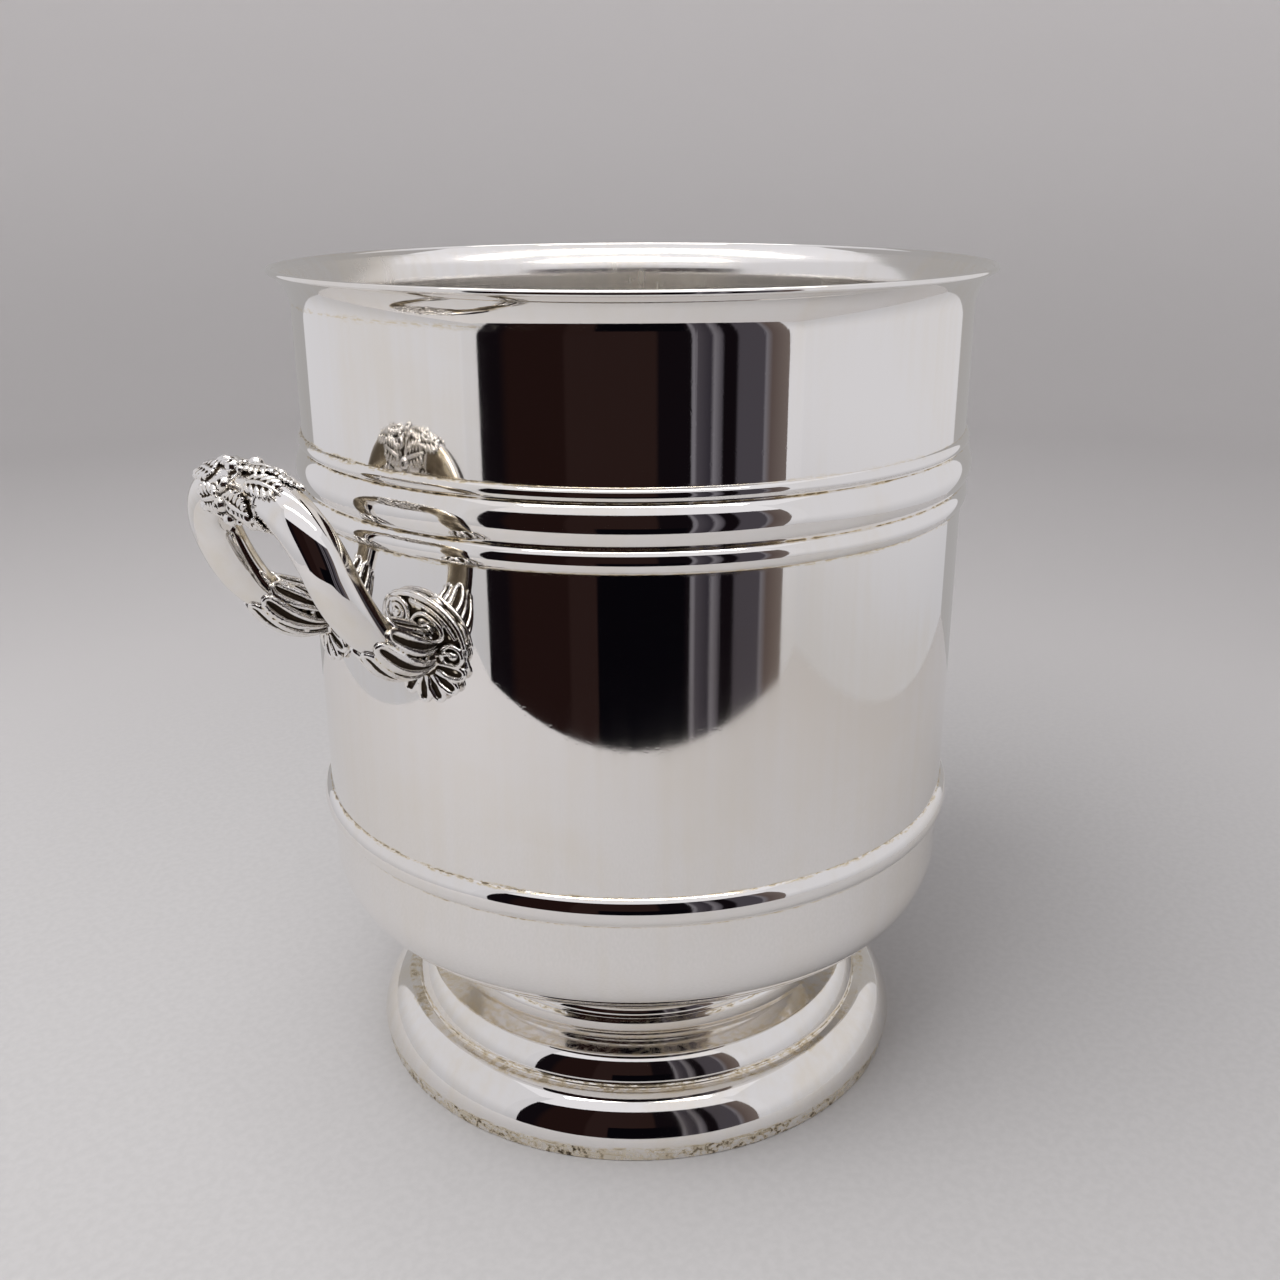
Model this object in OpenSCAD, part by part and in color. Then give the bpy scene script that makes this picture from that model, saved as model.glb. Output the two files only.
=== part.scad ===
// Champagne bucket: a spun bowl on a moulded foot, with applied wires and two cast handles.
// The origin is on the table at the middle of the foot, +Z up, and the handles stand on the X axis.

/* [Bowl] */
// Height of the lip above the table
bucket_h = 240; // [230:1:255]
// Outer radius of the straight wall
wall_r = 94.5; // [92:0.5:97]
// Thickness of the spun sheet
sheet_t = 1; // [0.8:0.1:1.4]
// Radius of the curve that flares the mouth
flare_r = 11; // [9:0.5:13]
// Angle that the flare turns through
flare_turn = 58; // [50:1:66]
// Radius of the rounded lip edge
lip_bead_r = 0.8; // [0.7:0.05:1]
// Radius of the corner between wall and bottom
corner_r = 20; // [17:0.5:23]
// Height of the corner's centre
corner_z = 69; // [67:0.5:71]
// Angle that the corner turns through before the flatter bottom starts
corner_turn = 55; // [52:1:58]
// Radius of the flatter curve under the bowl
bottom_r = 90; // [85:1:95]

/* [Wires on the wall] */
// Height of the lowest edge of the girdle
girdle_z = 175.6; // [172:0.2:180]
// Height of the lower bead of the girdle
lower_bead_h = 6; // [5:0.2:7]
// How far the lower bead stands proud
lower_bead_p = 1.5; // [1:0.1:2]
// Height of the wide convex band of the girdle
band_h = 10.8; // [9:0.2:12]
// How far the wide band stands proud
band_p = 2.3; // [1.6:0.1:3]
// Height of the upper bead of the girdle
upper_bead_h = 3.8; // [3:0.2:5]
// How far the upper bead stands proud
upper_bead_p = 1.2; // [0.8:0.1:1.5]
// Height of the lowest edge of the belly wire
belly_z = 82.4; // [80:0.2:88]
// Height of the belly wire
belly_h = 8.4; // [6:0.2:9]
// How far the belly wire stands proud
belly_p = 2.2; // [1.5:0.1:3]

/* [Foot] */
// Radius of the foot's neck
neck_r = 53.5; // [51:0.5:55]
// Height of the lowest edge of the neck ring
neck_ring_z = 26.5; // [25.5:0.1:28]
// Height of the neck ring
neck_ring_h = 4.5; // [3.5:0.1:5]
// How far the neck ring stands proud
neck_ring_p = 2.1; // [1.5:0.1:2.5]
// Radius of the cove under the neck
cove_r = 7; // [6:0.1:7.5]
// Height of the ledge at the bottom of the cove
ledge_z = 23.8; // [23:0.1:24.2]
// Radius where the ledge ends and the knurl starts
ledge_r = 67.6; // [66:0.1:68.5]
// Radius where the knurl ends at the quirk
quirk_r = 71.8; // [71:0.1:72.5]
// Height of the knurl's outer end
quirk_z = 17.8; // [17.4:0.1:18.2]
// How far the knurl bulges from its chord
knurl_p = 0.5; // [0.2:0.05:0.9]
// How far the big ovolo above the base band bulges from its chord
ovolo_p = 1.9; // [1:0.1:2]
// Radius where the ovolo meets the base band
foot_r = 83.8; // [83.4:0.1:84.6]
// Outer radius of the base band
base_r = 83.2; // [82.6:0.1:83.6]
// Height of the base band
base_h = 4.4; // [3.8:0.1:5]
// Radial width of the base band
base_w = 3; // [2.4:0.1:4]

/* [Handles] */
// Height of the handle roots
root_z = 153; // [150:0.5:156]
// Half the distance between the two roots of one handle
root_half = 20.9; // [20:0.1:21.5]
// Reach of the elbow that shapes the handle's rise
elbow_reach = 116; // [113:0.5:118]
// Height of the elbow that shapes the handle's rise
elbow_z = 154; // [151:0.5:157]
// Distance of the crest's centreline from the bucket's axis
crest_reach = 124.3; // [122:0.1:127]
// Height of the crest's centreline
crest_z = 193.6; // [190:0.2:197]
// Half width between centrelines at the shoulders
shoulder_half = 25.3; // [24:0.1:26]
// Radius of the shoulders in the handle's own plane
shoulder_r = 16.6; // [15:0.1:18]
// Outward swell of the legs between root and shoulder
leg_swell = 2.2; // [0:0.1:3]
// Radius of the bar in the middle of a leg
bar_r = 5.9; // [5.4:0.1:6.2]
// Radius of the bar where it leaves a leaf sheath
bar_end_r = 4.9; // [4.4:0.1:5.2]
// Radius of the bar under the garland
crest_bar_r = 5.5; // [5:0.1:5.8]

/* [Handle ornament] */
// Radius of a leaf sheath at the wall
sheath_root_r = 7.4; // [6.8:0.1:7.8]
// Radius of a leaf sheath at its open end
sheath_end_r = 6; // [5.6:0.1:6.4]
// Radius of the ring of lobes round a shell
shell_lobe_ring = 10.2; // [9.5:0.1:10.5]
// Radius of one lobe of a shell
shell_lobe_r = 3.7; // [3.4:0.1:3.8]
// Thickness of a shell
shell_t = 2.8; // [2:0.1:3]
// Thickness of the garland's leaves over the bar
leaf_t = 1.8; // [1.2:0.1:2.4]
// Radius of one berry
berry_r = 1.9; // [1.6:0.1:2.2]
// Number of berries round the crest
berry_count = 9; // [6:1:9]

/* [Hidden] */
$fn = 96;

LEFT = -1;
RIGHT = 1;
FRONT = -1;
BACK = 1;

// Bowl: how far the outline ends from the table, and the two centres of its curves
lip_mid = sheet_t / 2;
flare_z = bucket_h - lip_bead_r - lip_mid * sin(flare_turn) - flare_r * sin(flare_turn);
corner_c = [wall_r - corner_r, corner_z];
corner_dir = [cos(corner_turn), -sin(corner_turn)];
bottom_c = corner_c - (bottom_r - corner_r) * corner_dir;
arc_step = 5;

// Foot: the quirk's width and depth, where the neck ends inside the bowl, and room beyond the foot
quirk_w = 3.1;
quirk_drop = 1.2;
beyond_foot = 5;
neck_top_z = bottom_c[1];

// Handles: how far the roots stand out, where the arch's corners begin along its rise, the shares of
// a leg that the sheath and the bar's taper take, and facets
root_reach = sqrt(wall_r * wall_r - root_half * root_half);
corner_a = 0.79;
sheath_q = 0.53;
sheath_swell = 0.5;
taper_q = 0.4;
bar_sides = 16;
leg_steps = 7;
corner_steps = 6;
sheath_steps = 5;
garland_gap = 2.5;
garland_corner = 60;
garland_slack = 0.001;
shell_lobes = 9;
shell_turn = asin(root_half / wall_r);
shell_face_r = wall_r + shell_t;
shell_cut_h = 60;
berry_band_t = 1;
berry_band_h = 3;
berry_seat = 0.6;

// ---- Outlines ----

// Points of an arc about centre c, from angle a0 to angle a1
function arc(c, r, a0, a1) =
    let (n = ceil(abs(a1 - a0) / arc_step))
    [for (i = [0 : n]) let (a = a0 + (a1 - a0) * i / n) c + r * [cos(a), sin(a)]];

// Points of a shallow arc from p to q that bulges b to the right of the line from p to q
function bulge(p, q, b) =
    let (
        chord = norm(q - p),
        r = (chord * chord / 4 + b * b) / (2 * b),
        right = [q[1] - p[1], p[0] - q[0]] / chord,
        c = (p + q) / 2 - (r - b) * right,
        a0 = atan2(p[1] - c[1], p[0] - c[0]),
        a1 = atan2(q[1] - c[1], q[0] - c[0])
    ) arc(c, r, a0, a1);

function unit(v) = v / norm(v);
function turned(v) = [-v[1], v[0]];
function reversed(list) = [for (i = [len(list) - 1 : -1 : 0]) list[i]];

// Direction of a path at point i, from its neighbours
function heading(path, i) = unit(path[min(i + 1, len(path) - 1)] - path[max(i - 1, 0)]);

// The path moved sideways by t to its left
function beside(path, t) = [for (i = [0 : len(path) - 1]) path[i] + t * turned(heading(path, i))];

// A strip of sheet metal whose outer face is the path
module strip(path, t) {
    polygon(concat(path, reversed(beside(path, t))));
}

// Outer face of the bowl, from the middle of its bottom up to the lip
function bowl_outline() = concat(
    [[0, bottom_c[1] - bottom_r], [bottom_c[0], bottom_c[1] - bottom_r]],
    arc(bottom_c, bottom_r, -90 + arc_step, -corner_turn),
    arc(corner_c, corner_r, -corner_turn + arc_step, 0),
    arc([wall_r + flare_r, flare_z], flare_r, 180, 180 - flare_turn)
);

// Outer face of the foot, from the base band up to the neck
function foot_outline() = concat(
    bulge([foot_r, base_h], [quirk_r + quirk_w, quirk_z - quirk_drop], ovolo_p),
    [[quirk_r, quirk_z - quirk_drop]],
    bulge([quirk_r, quirk_z], [ledge_r, ledge_z], knurl_p),
    arc([neck_r + cove_r, ledge_z + cove_r], cove_r, -90, -180),
    [[neck_r, neck_top_z]]
);

// Everything inside the bowl's outer face, up to a height well above the foot
module bowl_body() {
    polygon(concat(bowl_outline(), [[0, bucket_h]]));
}

// Section of a half-round wire that lies on a cylinder of radius r
module half_round(r, z, h, proud) {
    wire_r = (h * h / 4 + proud * proud) / (2 * proud);
    intersection() {
        translate([r + proud - wire_r, z + h / 2]) circle(r = wire_r);
        translate([r, z]) square([proud, h]);
    }
}

// ---- Bowl and wires ----

module bowl() {
    lip_end = [wall_r + flare_r, flare_z] + (flare_r - lip_mid) * [-cos(flare_turn), sin(flare_turn)];
    color("gainsboro") rotate_extrude() {
        strip(bowl_outline(), sheet_t);
        translate(lip_end + sheet_t * [-cos(flare_turn), sin(flare_turn)]) circle(r = lip_bead_r);
    }
}

module wire(z, h, proud, r = wall_r) {
    rotate_extrude() half_round(r, z, h, proud);
}

module lower_bead() {
    color("silver") wire(girdle_z, lower_bead_h, lower_bead_p);
}

module girdle_band() {
    color("whitesmoke") wire(girdle_z + lower_bead_h, band_h, band_p);
}

module upper_bead() {
    color("silver") wire(girdle_z + lower_bead_h + band_h, upper_bead_h, upper_bead_p);
}

module belly_wire() {
    color("silver") wire(belly_z, belly_h, belly_p);
}

// ---- Foot ----

module neck_ring() {
    color("silver") wire(neck_ring_z, neck_ring_h, neck_ring_p, neck_r);
}

module foot() {
    color("lightgray") rotate_extrude() difference() {
        strip(foot_outline(), sheet_t);
        bowl_body();
        square([foot_r + beyond_foot, base_h]);
    }
}

module base_band() {
    color("darkgray") rotate_extrude() translate([base_r - base_w, 0]) square([base_w, base_h]);
}

// ---- Handles ----
// A handle is an arch drawn on a surface that rises from the wall. The rise is a quadratic curve with
// parameter a, from the roots at 0 to the crest at 1. A stop on the arch is [a, sideways place, radius].

function rise(a) = (1 - a) * (1 - a) * [root_reach, root_z]
    + 2 * a * (1 - a) * [elbow_reach, elbow_z]
    + a * a * [crest_reach, crest_z];
function rise_heading(a) = unit(
    (1 - a) * [elbow_reach - root_reach, elbow_z - root_z]
    + a * [crest_reach - elbow_reach, crest_z - elbow_z]);

function leg_side(q) = root_half + (shoulder_half - root_half) * q + leg_swell * sin(180 * q);
function leg_radius(q) = bar_end_r + (bar_r - bar_end_r) * sin(90 * min(1, (q - sheath_q) / taper_q));
function leg_stop(q, r) = [corner_a * q, leg_side(q), r];
function corner_stop(turn, r) =
    [corner_a + (1 - corner_a) * sin(turn), shoulder_half - shoulder_r * (1 - cos(turn)), r];

// The stops of half an arch, from a leaf sheath to the middle of the crest
half_arch = concat(
    [for (i = [0 : leg_steps - 1])
        let (q = sheath_q + (1 - sheath_q) * i / leg_steps) leg_stop(q, leg_radius(q))],
    [for (i = [0 : corner_steps])
        let (turn = 90 * i / corner_steps) corner_stop(turn, bar_r + (crest_bar_r - bar_r) * turn / 90)],
    [[1, garland_gap, crest_bar_r]]
);
whole_arch = concat(half_arch, reversed([for (s = half_arch) [s[0], -s[1], s[2]]]));

sheath_path = [for (i = [0 : sheath_steps])
    let (
        q = sheath_q * i / sheath_steps,
        swell = sheath_swell * sin(180 * i / sheath_steps),
        r = sheath_root_r + (sheath_end_r - sheath_root_r) * i / sheath_steps + swell
    ) leg_stop(q, r)];

// The garland covers the shoulders from the berries to partway round the corner
garland_path = [for (s = half_arch)
    if (s[0] >= corner_a + (1 - corner_a) * sin(garland_corner) - garland_slack) s];

function place(stop) = let (p = rise(stop[0])) [p[0], stop[1], p[1]];

// A ring of points round the arch at stop i, with its radius grown by more
function ring(path, i, more = 0) =
    let (
        ahead = unit(place(path[min(i + 1, len(path) - 1)]) - place(path[max(i - 1, 0)])),
        h = rise_heading(path[i][0]),
        out = [h[1], 0, -h[0]],
        side = cross(out, ahead)
    )
    [for (k = [0 : bar_sides - 1])
        let (a = 360 * k / bar_sides)
        place(path[i]) + (path[i][2] + more) * (cos(a) * out + sin(a) * side)];

function quads(n, first, flip) = [for (k = [0 : bar_sides - 1])
    let (
        a = first + k,
        b = first + (k + 1) % bar_sides,
        q = [a, b, b + n, a + n]
    ) flip ? reversed(q) : q];

// A solid swept along the path
module sweep(path) {
    n = len(path);
    points = [for (i = [0 : n - 1]) each ring(path, i)];
    walls = [for (i = [0 : n - 2]) each quads(bar_sides, i * bar_sides, false)];
    first_cap = [for (k = [bar_sides - 1 : -1 : 0]) k];
    last_cap = [for (k = [0 : bar_sides - 1]) (n - 1) * bar_sides + k];
    polyhedron(points, concat(walls, [first_cap, last_cap]), convexity = 6);
}

// A sleeve of thickness t round the bar, with the bar's own facets on its inside
module sleeve(path, t) {
    n = len(path);
    inner = [for (i = [0 : n - 1]) each ring(path, i)];
    outer = [for (i = [0 : n - 1]) each ring(path, i, t)];
    shift = n * bar_sides;
    inner_walls = [for (i = [0 : n - 2]) each quads(bar_sides, i * bar_sides, true)];
    outer_walls = [for (i = [0 : n - 2]) each quads(bar_sides, shift + i * bar_sides, false)];
    first_end = quads(shift, 0, false);
    last_end = quads(shift, shift - bar_sides, true);
    polyhedron(
        concat(inner, outer),
        concat(inner_walls, outer_walls, first_end, last_end),
        convexity = 6
    );
}

module on_side(side) {
    mirror([side < 0 ? 1 : 0, 0, 0]) children();
}

module at_end(end) {
    mirror([0, end < 0 ? 1 : 0, 0]) children();
}

module bow(side) {
    color("gainsboro") on_side(side) sweep(whole_arch);
}

// A calyx of leaves that holds the end of the bow, from the shell's face outwards
module sheath(side, end) {
    color("rosybrown") on_side(side) at_end(end) difference() {
        sweep(sheath_path);
        translate([0, 0, root_z]) cylinder(r = shell_face_r, h = shell_cut_h, center = true);
    }
}

// The scalloped outline of a shell
module shell_outline() {
    circle(r = shell_lobe_ring);
    for (k = [0 : shell_lobes - 1]) {
        rotate(360 * k / shell_lobes) translate([shell_lobe_ring, 0]) circle(r = shell_lobe_r);
    }
}

// A scalloped plate that lies on the wall under a sheath
module shell(side, end) {
    color("burlywood") on_side(side) at_end(end) intersection() {
        translate([0, 0, root_z]) difference() {
            cylinder(r = shell_face_r, h = shell_cut_h, center = true);
            cylinder(r = wall_r, h = shell_cut_h, center = true);
        }
        rotate(shell_turn) translate([wall_r / 2, 0, root_z]) rotate([0, 90, 0])
            linear_extrude(wall_r) shell_outline();
    }
}

// Two clumps of leaves that wrap the shoulders of the crest
module garland_leaves(side) {
    color("darkseagreen") on_side(side) {
        at_end(FRONT) sleeve(garland_path, leaf_t);
        at_end(BACK) sleeve(garland_path, leaf_t);
    }
}

// A ring of berries round the middle of the crest
module garland_berries(side) {
    color("goldenrod") on_side(side) translate([crest_reach, 0, crest_z]) rotate([90, 0, 0])
        difference() {
            union() {
                cylinder(r = crest_bar_r + berry_band_t, h = berry_band_h, center = true);
                for (k = [0 : berry_count - 1]) {
                    rotate(360 * k / berry_count)
                        translate([crest_bar_r + berry_band_t + berry_seat, 0, 0]) sphere(r = berry_r);
                }
            }
            cylinder(r = crest_bar_r, h = 4 * berry_r, center = true);
        }
}

bowl();
upper_bead();
girdle_band();
lower_bead();
belly_wire();
neck_ring();
foot();
base_band();
bow(LEFT);  // left_bow
sheath(LEFT, FRONT);  // left_front_sheath
sheath(LEFT, BACK);  // left_back_sheath
shell(LEFT, FRONT);  // left_front_shell
shell(LEFT, BACK);  // left_back_shell
garland_leaves(LEFT);  // left_garland_leaves
garland_berries(LEFT);  // left_garland_berries
bow(RIGHT);  // right_bow
sheath(RIGHT, FRONT);  // right_front_sheath
sheath(RIGHT, BACK);  // right_back_sheath
shell(RIGHT, FRONT);  // right_front_shell
shell(RIGHT, BACK);  // right_back_shell
garland_leaves(RIGHT);  // right_garland_leaves
garland_berries(RIGHT);  // right_garland_berries
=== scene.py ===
"""Looks of a silver champagne bucket with two cast handles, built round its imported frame."""
import logging
import math
from dataclasses import dataclass, field
from enum import Enum
from typing import Callable, Sequence

import bpy
import numpy as np
from mathutils import Matrix, Vector


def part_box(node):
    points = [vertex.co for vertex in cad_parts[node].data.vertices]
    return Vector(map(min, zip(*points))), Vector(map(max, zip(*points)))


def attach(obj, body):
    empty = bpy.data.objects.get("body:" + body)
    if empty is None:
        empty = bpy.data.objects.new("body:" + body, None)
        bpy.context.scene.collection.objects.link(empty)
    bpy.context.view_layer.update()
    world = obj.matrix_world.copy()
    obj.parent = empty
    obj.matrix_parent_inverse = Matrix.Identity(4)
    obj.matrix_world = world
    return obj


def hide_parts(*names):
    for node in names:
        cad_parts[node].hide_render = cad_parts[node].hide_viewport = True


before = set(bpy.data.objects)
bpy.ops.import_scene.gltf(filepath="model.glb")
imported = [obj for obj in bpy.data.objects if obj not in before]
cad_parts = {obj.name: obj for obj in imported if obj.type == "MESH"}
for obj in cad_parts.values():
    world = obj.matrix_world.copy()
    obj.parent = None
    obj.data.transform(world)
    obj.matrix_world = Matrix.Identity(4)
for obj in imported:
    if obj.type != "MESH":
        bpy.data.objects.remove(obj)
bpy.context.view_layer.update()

LOG = logging.getLogger("bucket")
MM = 0.001
FULL_TURN = 2 * math.pi
MERGE_GAP = 2e-6
SHARP_ANGLE = math.radians(34)
ROOT = "root"
HOLLOW = "hollow"
INNER_SIDE = "inner_side"
HOLLOW_ROUNDS, HOLLOW_DEPTH = 14, 0.18 * MM
FINE_HOLLOW_ROUNDS, FINE_HOLLOW_DEPTH = 12, 0.15 * MM
LIP_SEAM_DROP = 9 * MM
QUIRK_SEAM_Z = 16.9 * MM
LEDGE_SEAM_Z = 23.9 * MM

Point = tuple[float, float]
Shape = bpy.types.Object


class Side(Enum):
    """The two handles, by the sign of their X."""

    LEFT = -1
    RIGHT = 1


class End(Enum):
    """The two roots of a handle, by the sign of their Y."""

    FRONT = -1
    BACK = 1


class Slot(Enum):
    """The record's names for the finishes."""

    BRIGHT = "bright_silver"
    CAST = "cast_silver"
    WORN = "worn_silver"


# ---- The bench: operators, each used on a cleared selection ----


class Bench:
    """The modelling steps that every piece is made with."""

    @staticmethod
    def clear() -> None:
        """Leaves edit mode and deselects everything."""
        if bpy.context.object is not None and bpy.context.object.mode != "OBJECT":
            bpy.ops.object.mode_set(mode="OBJECT")
        bpy.ops.object.select_all(action="DESELECT")

    @staticmethod
    def pick(*pieces: Shape) -> None:
        """Selects only these pieces, the last of them active.

        Args:
            pieces: the pieces to select.
        """
        Bench.clear()
        for piece in pieces:
            piece.select_set(True)
        bpy.context.view_layer.objects.active = pieces[-1]

    @staticmethod
    def edit(piece: Shape) -> None:
        """Opens a piece in edit mode with its whole mesh selected."""
        Bench.pick(piece)
        bpy.ops.object.mode_set(mode="EDIT")
        bpy.ops.mesh.select_all(action="SELECT")

    @staticmethod
    def close() -> None:
        """Turns all faces outwards and leaves edit mode."""
        bpy.ops.mesh.select_all(action="SELECT")
        bpy.ops.mesh.normals_make_consistent(inside=False)
        bpy.ops.object.mode_set(mode="OBJECT")

    @staticmethod
    def started(name: str) -> Shape:
        """Names the primitive that was added last and returns it."""
        piece = bpy.context.object
        piece.name = name
        piece.data.name = name
        return piece

    @staticmethod
    def sketch(name: str, path: Sequence[Sequence[float]]) -> Shape:
        """Draws a line by extruding one vertex along a path, and stays in edit mode.

        Args:
            name: the piece's name.
            path: the points (x, y, z) that it runs through, in metres.

        Returns:
            The piece, with the whole line selected.
        """
        Bench.clear()
        bpy.ops.mesh.primitive_plane_add(size=MM)
        piece = Bench.started(name)
        Bench.edit(piece)
        bpy.ops.mesh.merge(type="CENTER")
        bpy.ops.transform.translate(value=tuple(path[0]))
        for here, there in zip(path, path[1:]):
            step = tuple(b - a for a, b in zip(here, there))
            bpy.ops.mesh.extrude_vertices_move(TRANSFORM_OT_translate={"value": step})
        bpy.ops.mesh.select_all(action="SELECT")
        return piece

    @staticmethod
    def turn(name: str, outline: Sequence[Point], steps: int = 256) -> Shape:
        """Draws an outline and spins it round the Z axis.

        Args:
            name: the piece's name.
            outline: points (radius, height) in metres, closed or ending on the axis.
            steps: segments in a whole turn.

        Returns:
            The turned piece, closed, with its faces outwards.
        """
        piece = Bench.sketch(name, [(r, 0, z) for r, z in outline])
        bpy.ops.mesh.spin(steps=steps, angle=FULL_TURN, center=(0, 0, 0), axis=(0, 0, 1))
        bpy.ops.mesh.select_all(action="SELECT")
        bpy.ops.mesh.remove_doubles(threshold=MERGE_GAP)
        Bench.close()
        bpy.ops.object.shade_smooth_by_angle(angle=SHARP_ANGLE)
        return piece

    @staticmethod
    def bar(name: str, stations: np.ndarray, radii: np.ndarray, sides: int) -> Shape:
        """Extrudes a disc along X, growing and shrinking as it goes.

        Args:
            name: the piece's name.
            stations: the places along X that it stops at, in metres.
            radii: its radius at each, in metres.
            sides: the disc's sides.

        Returns:
            The straight bar, closed.
        """
        Bench.clear()
        bpy.ops.mesh.primitive_circle_add(vertices=sides, radius=float(radii[0]),
                                          fill_type="NGON", location=(float(stations[0]), 0, 0),
                                          rotation=(0, math.pi / 2, 0))
        piece = Bench.started(name)
        bpy.ops.object.transform_apply(location=True, rotation=True, scale=True)
        Bench.edit(piece)
        for i in range(len(stations) - 1):
            grown = float(radii[i + 1] / radii[i])
            bpy.ops.mesh.extrude_region_move(
                TRANSFORM_OT_translate={"value": (float(stations[i + 1] - stations[i]), 0, 0)})
            bpy.ops.transform.resize(value=(1, grown, grown),
                                     center_override=(float(stations[i + 1]), 0, 0))
        Bench.close()
        return piece

    @staticmethod
    def ball(centre: Sequence[float], radii: Sequence[float], heading: float = 0.0,
             rings: int = 10) -> Shape:
        """Adds a ball stretched to three radii.

        Args:
            centre: its centre, in metres.
            radii: its three radii, in metres.
            heading: its turn about Z, in radians.
            rings: rings of faces.

        Returns:
            The ball, with its place still on the object.
        """
        bpy.ops.mesh.primitive_uv_sphere_add(
            segments=2 * rings, ring_count=rings, radius=1, location=tuple(centre),
            rotation=(0, 0, heading), scale=tuple(radii))
        return bpy.context.object

    @staticmethod
    def reeds(paths: Sequence[Sequence[Sequence[float]]], closed: bool = False) -> Shape:
        """Lays round reeds along paths.

        Args:
            paths: for each reed its points (x, y, z, radius), in metres.
            closed: whether each reed runs back into its own start.

        Returns:
            One mesh of all the reeds.
        """
        drawn = bpy.data.curves.new("reeds", "CURVE")
        drawn.dimensions = "3D"
        drawn.bevel_depth = 1.0
        drawn.bevel_resolution = 2
        drawn.resolution_u = 5
        drawn.use_fill_caps = True
        for path in paths:
            spline = drawn.splines.new("NURBS")
            spline.points.add(len(path) - 1)
            for point, (x, y, z, radius) in zip(spline.points, path):
                point.co = (x, y, z, 1)
                point.radius = radius
            spline.order_u = 3
            spline.use_endpoint_u = not closed
            spline.use_cyclic_u = closed
        piece = bpy.data.objects.new("reeds", drawn)
        bpy.context.scene.collection.objects.link(piece)
        Bench.pick(piece)
        bpy.ops.object.convert(target="MESH")
        return bpy.context.object

    @staticmethod
    def join(name: str, parts: Sequence[Shape]) -> Shape:
        """Joins parts into one piece with its place in its mesh."""
        Bench.pick(*parts)
        bpy.ops.object.join()
        piece = Bench.started(name)
        bpy.ops.object.transform_apply(location=True, rotation=True, scale=True)
        return piece

    @staticmethod
    def modify(piece: Shape, kind: str, **settings: object) -> None:
        """Adds a modifier and applies it.

        Args:
            piece: the piece to change.
            kind: the modifier's type.
            settings: the modifier's own settings.
        """
        Bench.pick(piece)
        modifier = piece.modifiers.new(kind.title(), kind)
        for key, value in settings.items():
            setattr(modifier, key, value)
        bpy.ops.object.modifier_apply(modifier=modifier.name)

    @staticmethod
    def fuse(piece: Shape, grain: float, rounds: int = 2) -> None:
        """Melts overlapping parts into one closed skin, as a casting is.

        Args:
            piece: the piece to fuse.
            grain: the size of its new faces, in metres.
            rounds: how often the new skin is smoothed.
        """
        Bench.modify(piece, "REMESH", mode="VOXEL", voxel_size=grain)
        Bench.modify(piece, "SMOOTH", factor=0.5, iterations=rounds)
        Bench.pick(piece)
        bpy.ops.object.shade_smooth()

    @staticmethod
    def copied(piece: Shape, name: str) -> Shape:
        """Returns a copy of a piece, with its own mesh."""
        twin = piece.copy()
        twin.data = piece.data.copy()
        twin.name = name
        twin.data.name = name
        bpy.context.scene.collection.objects.link(twin)
        return twin

    @staticmethod
    def placed(piece: Shape, name: str, side: Side, end: End) -> Shape:
        """Copies a piece that was made at the right handle's back root to one of the four roots.

        Args:
            piece: the first piece.
            name: the copy's name.
            side: the handle that the copy belongs to.
            end: the root that the copy belongs to.

        Returns:
            The copy, mirrored where its place needs it.
        """
        twin = Bench.copied(piece, name)
        if (side, end) != (Side.RIGHT, End.BACK):
            Bench.edit(twin)
            bpy.ops.transform.resize(value=(side.value, end.value, 1), center_override=(0, 0, 0))
            if side.value * end.value < 0:
                bpy.ops.mesh.flip_normals()
            bpy.ops.object.mode_set(mode="OBJECT")
        return twin


def points_of(piece: Shape) -> np.ndarray:
    """Returns a mesh's points as rows (x, y, z)."""
    co = np.empty(len(piece.data.vertices) * 3, np.float32)
    piece.data.vertices.foreach_get("co", co)
    return co.reshape(-1, 3).astype(float)


def set_points(piece: Shape, co: np.ndarray) -> None:
    """Moves a mesh's points to the rows of co."""
    piece.data.vertices.foreach_set("co", co.astype(np.float32).ravel())
    piece.data.update()


def store_mask(piece: Shape, name: str, values: np.ndarray) -> None:
    """Keeps one number a point on a mesh, for its finish to read."""
    layer = piece.data.attributes.get(name) or piece.data.attributes.new(name, "FLOAT", "POINT")
    layer.data.foreach_set("value", values.astype(np.float32))


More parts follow.
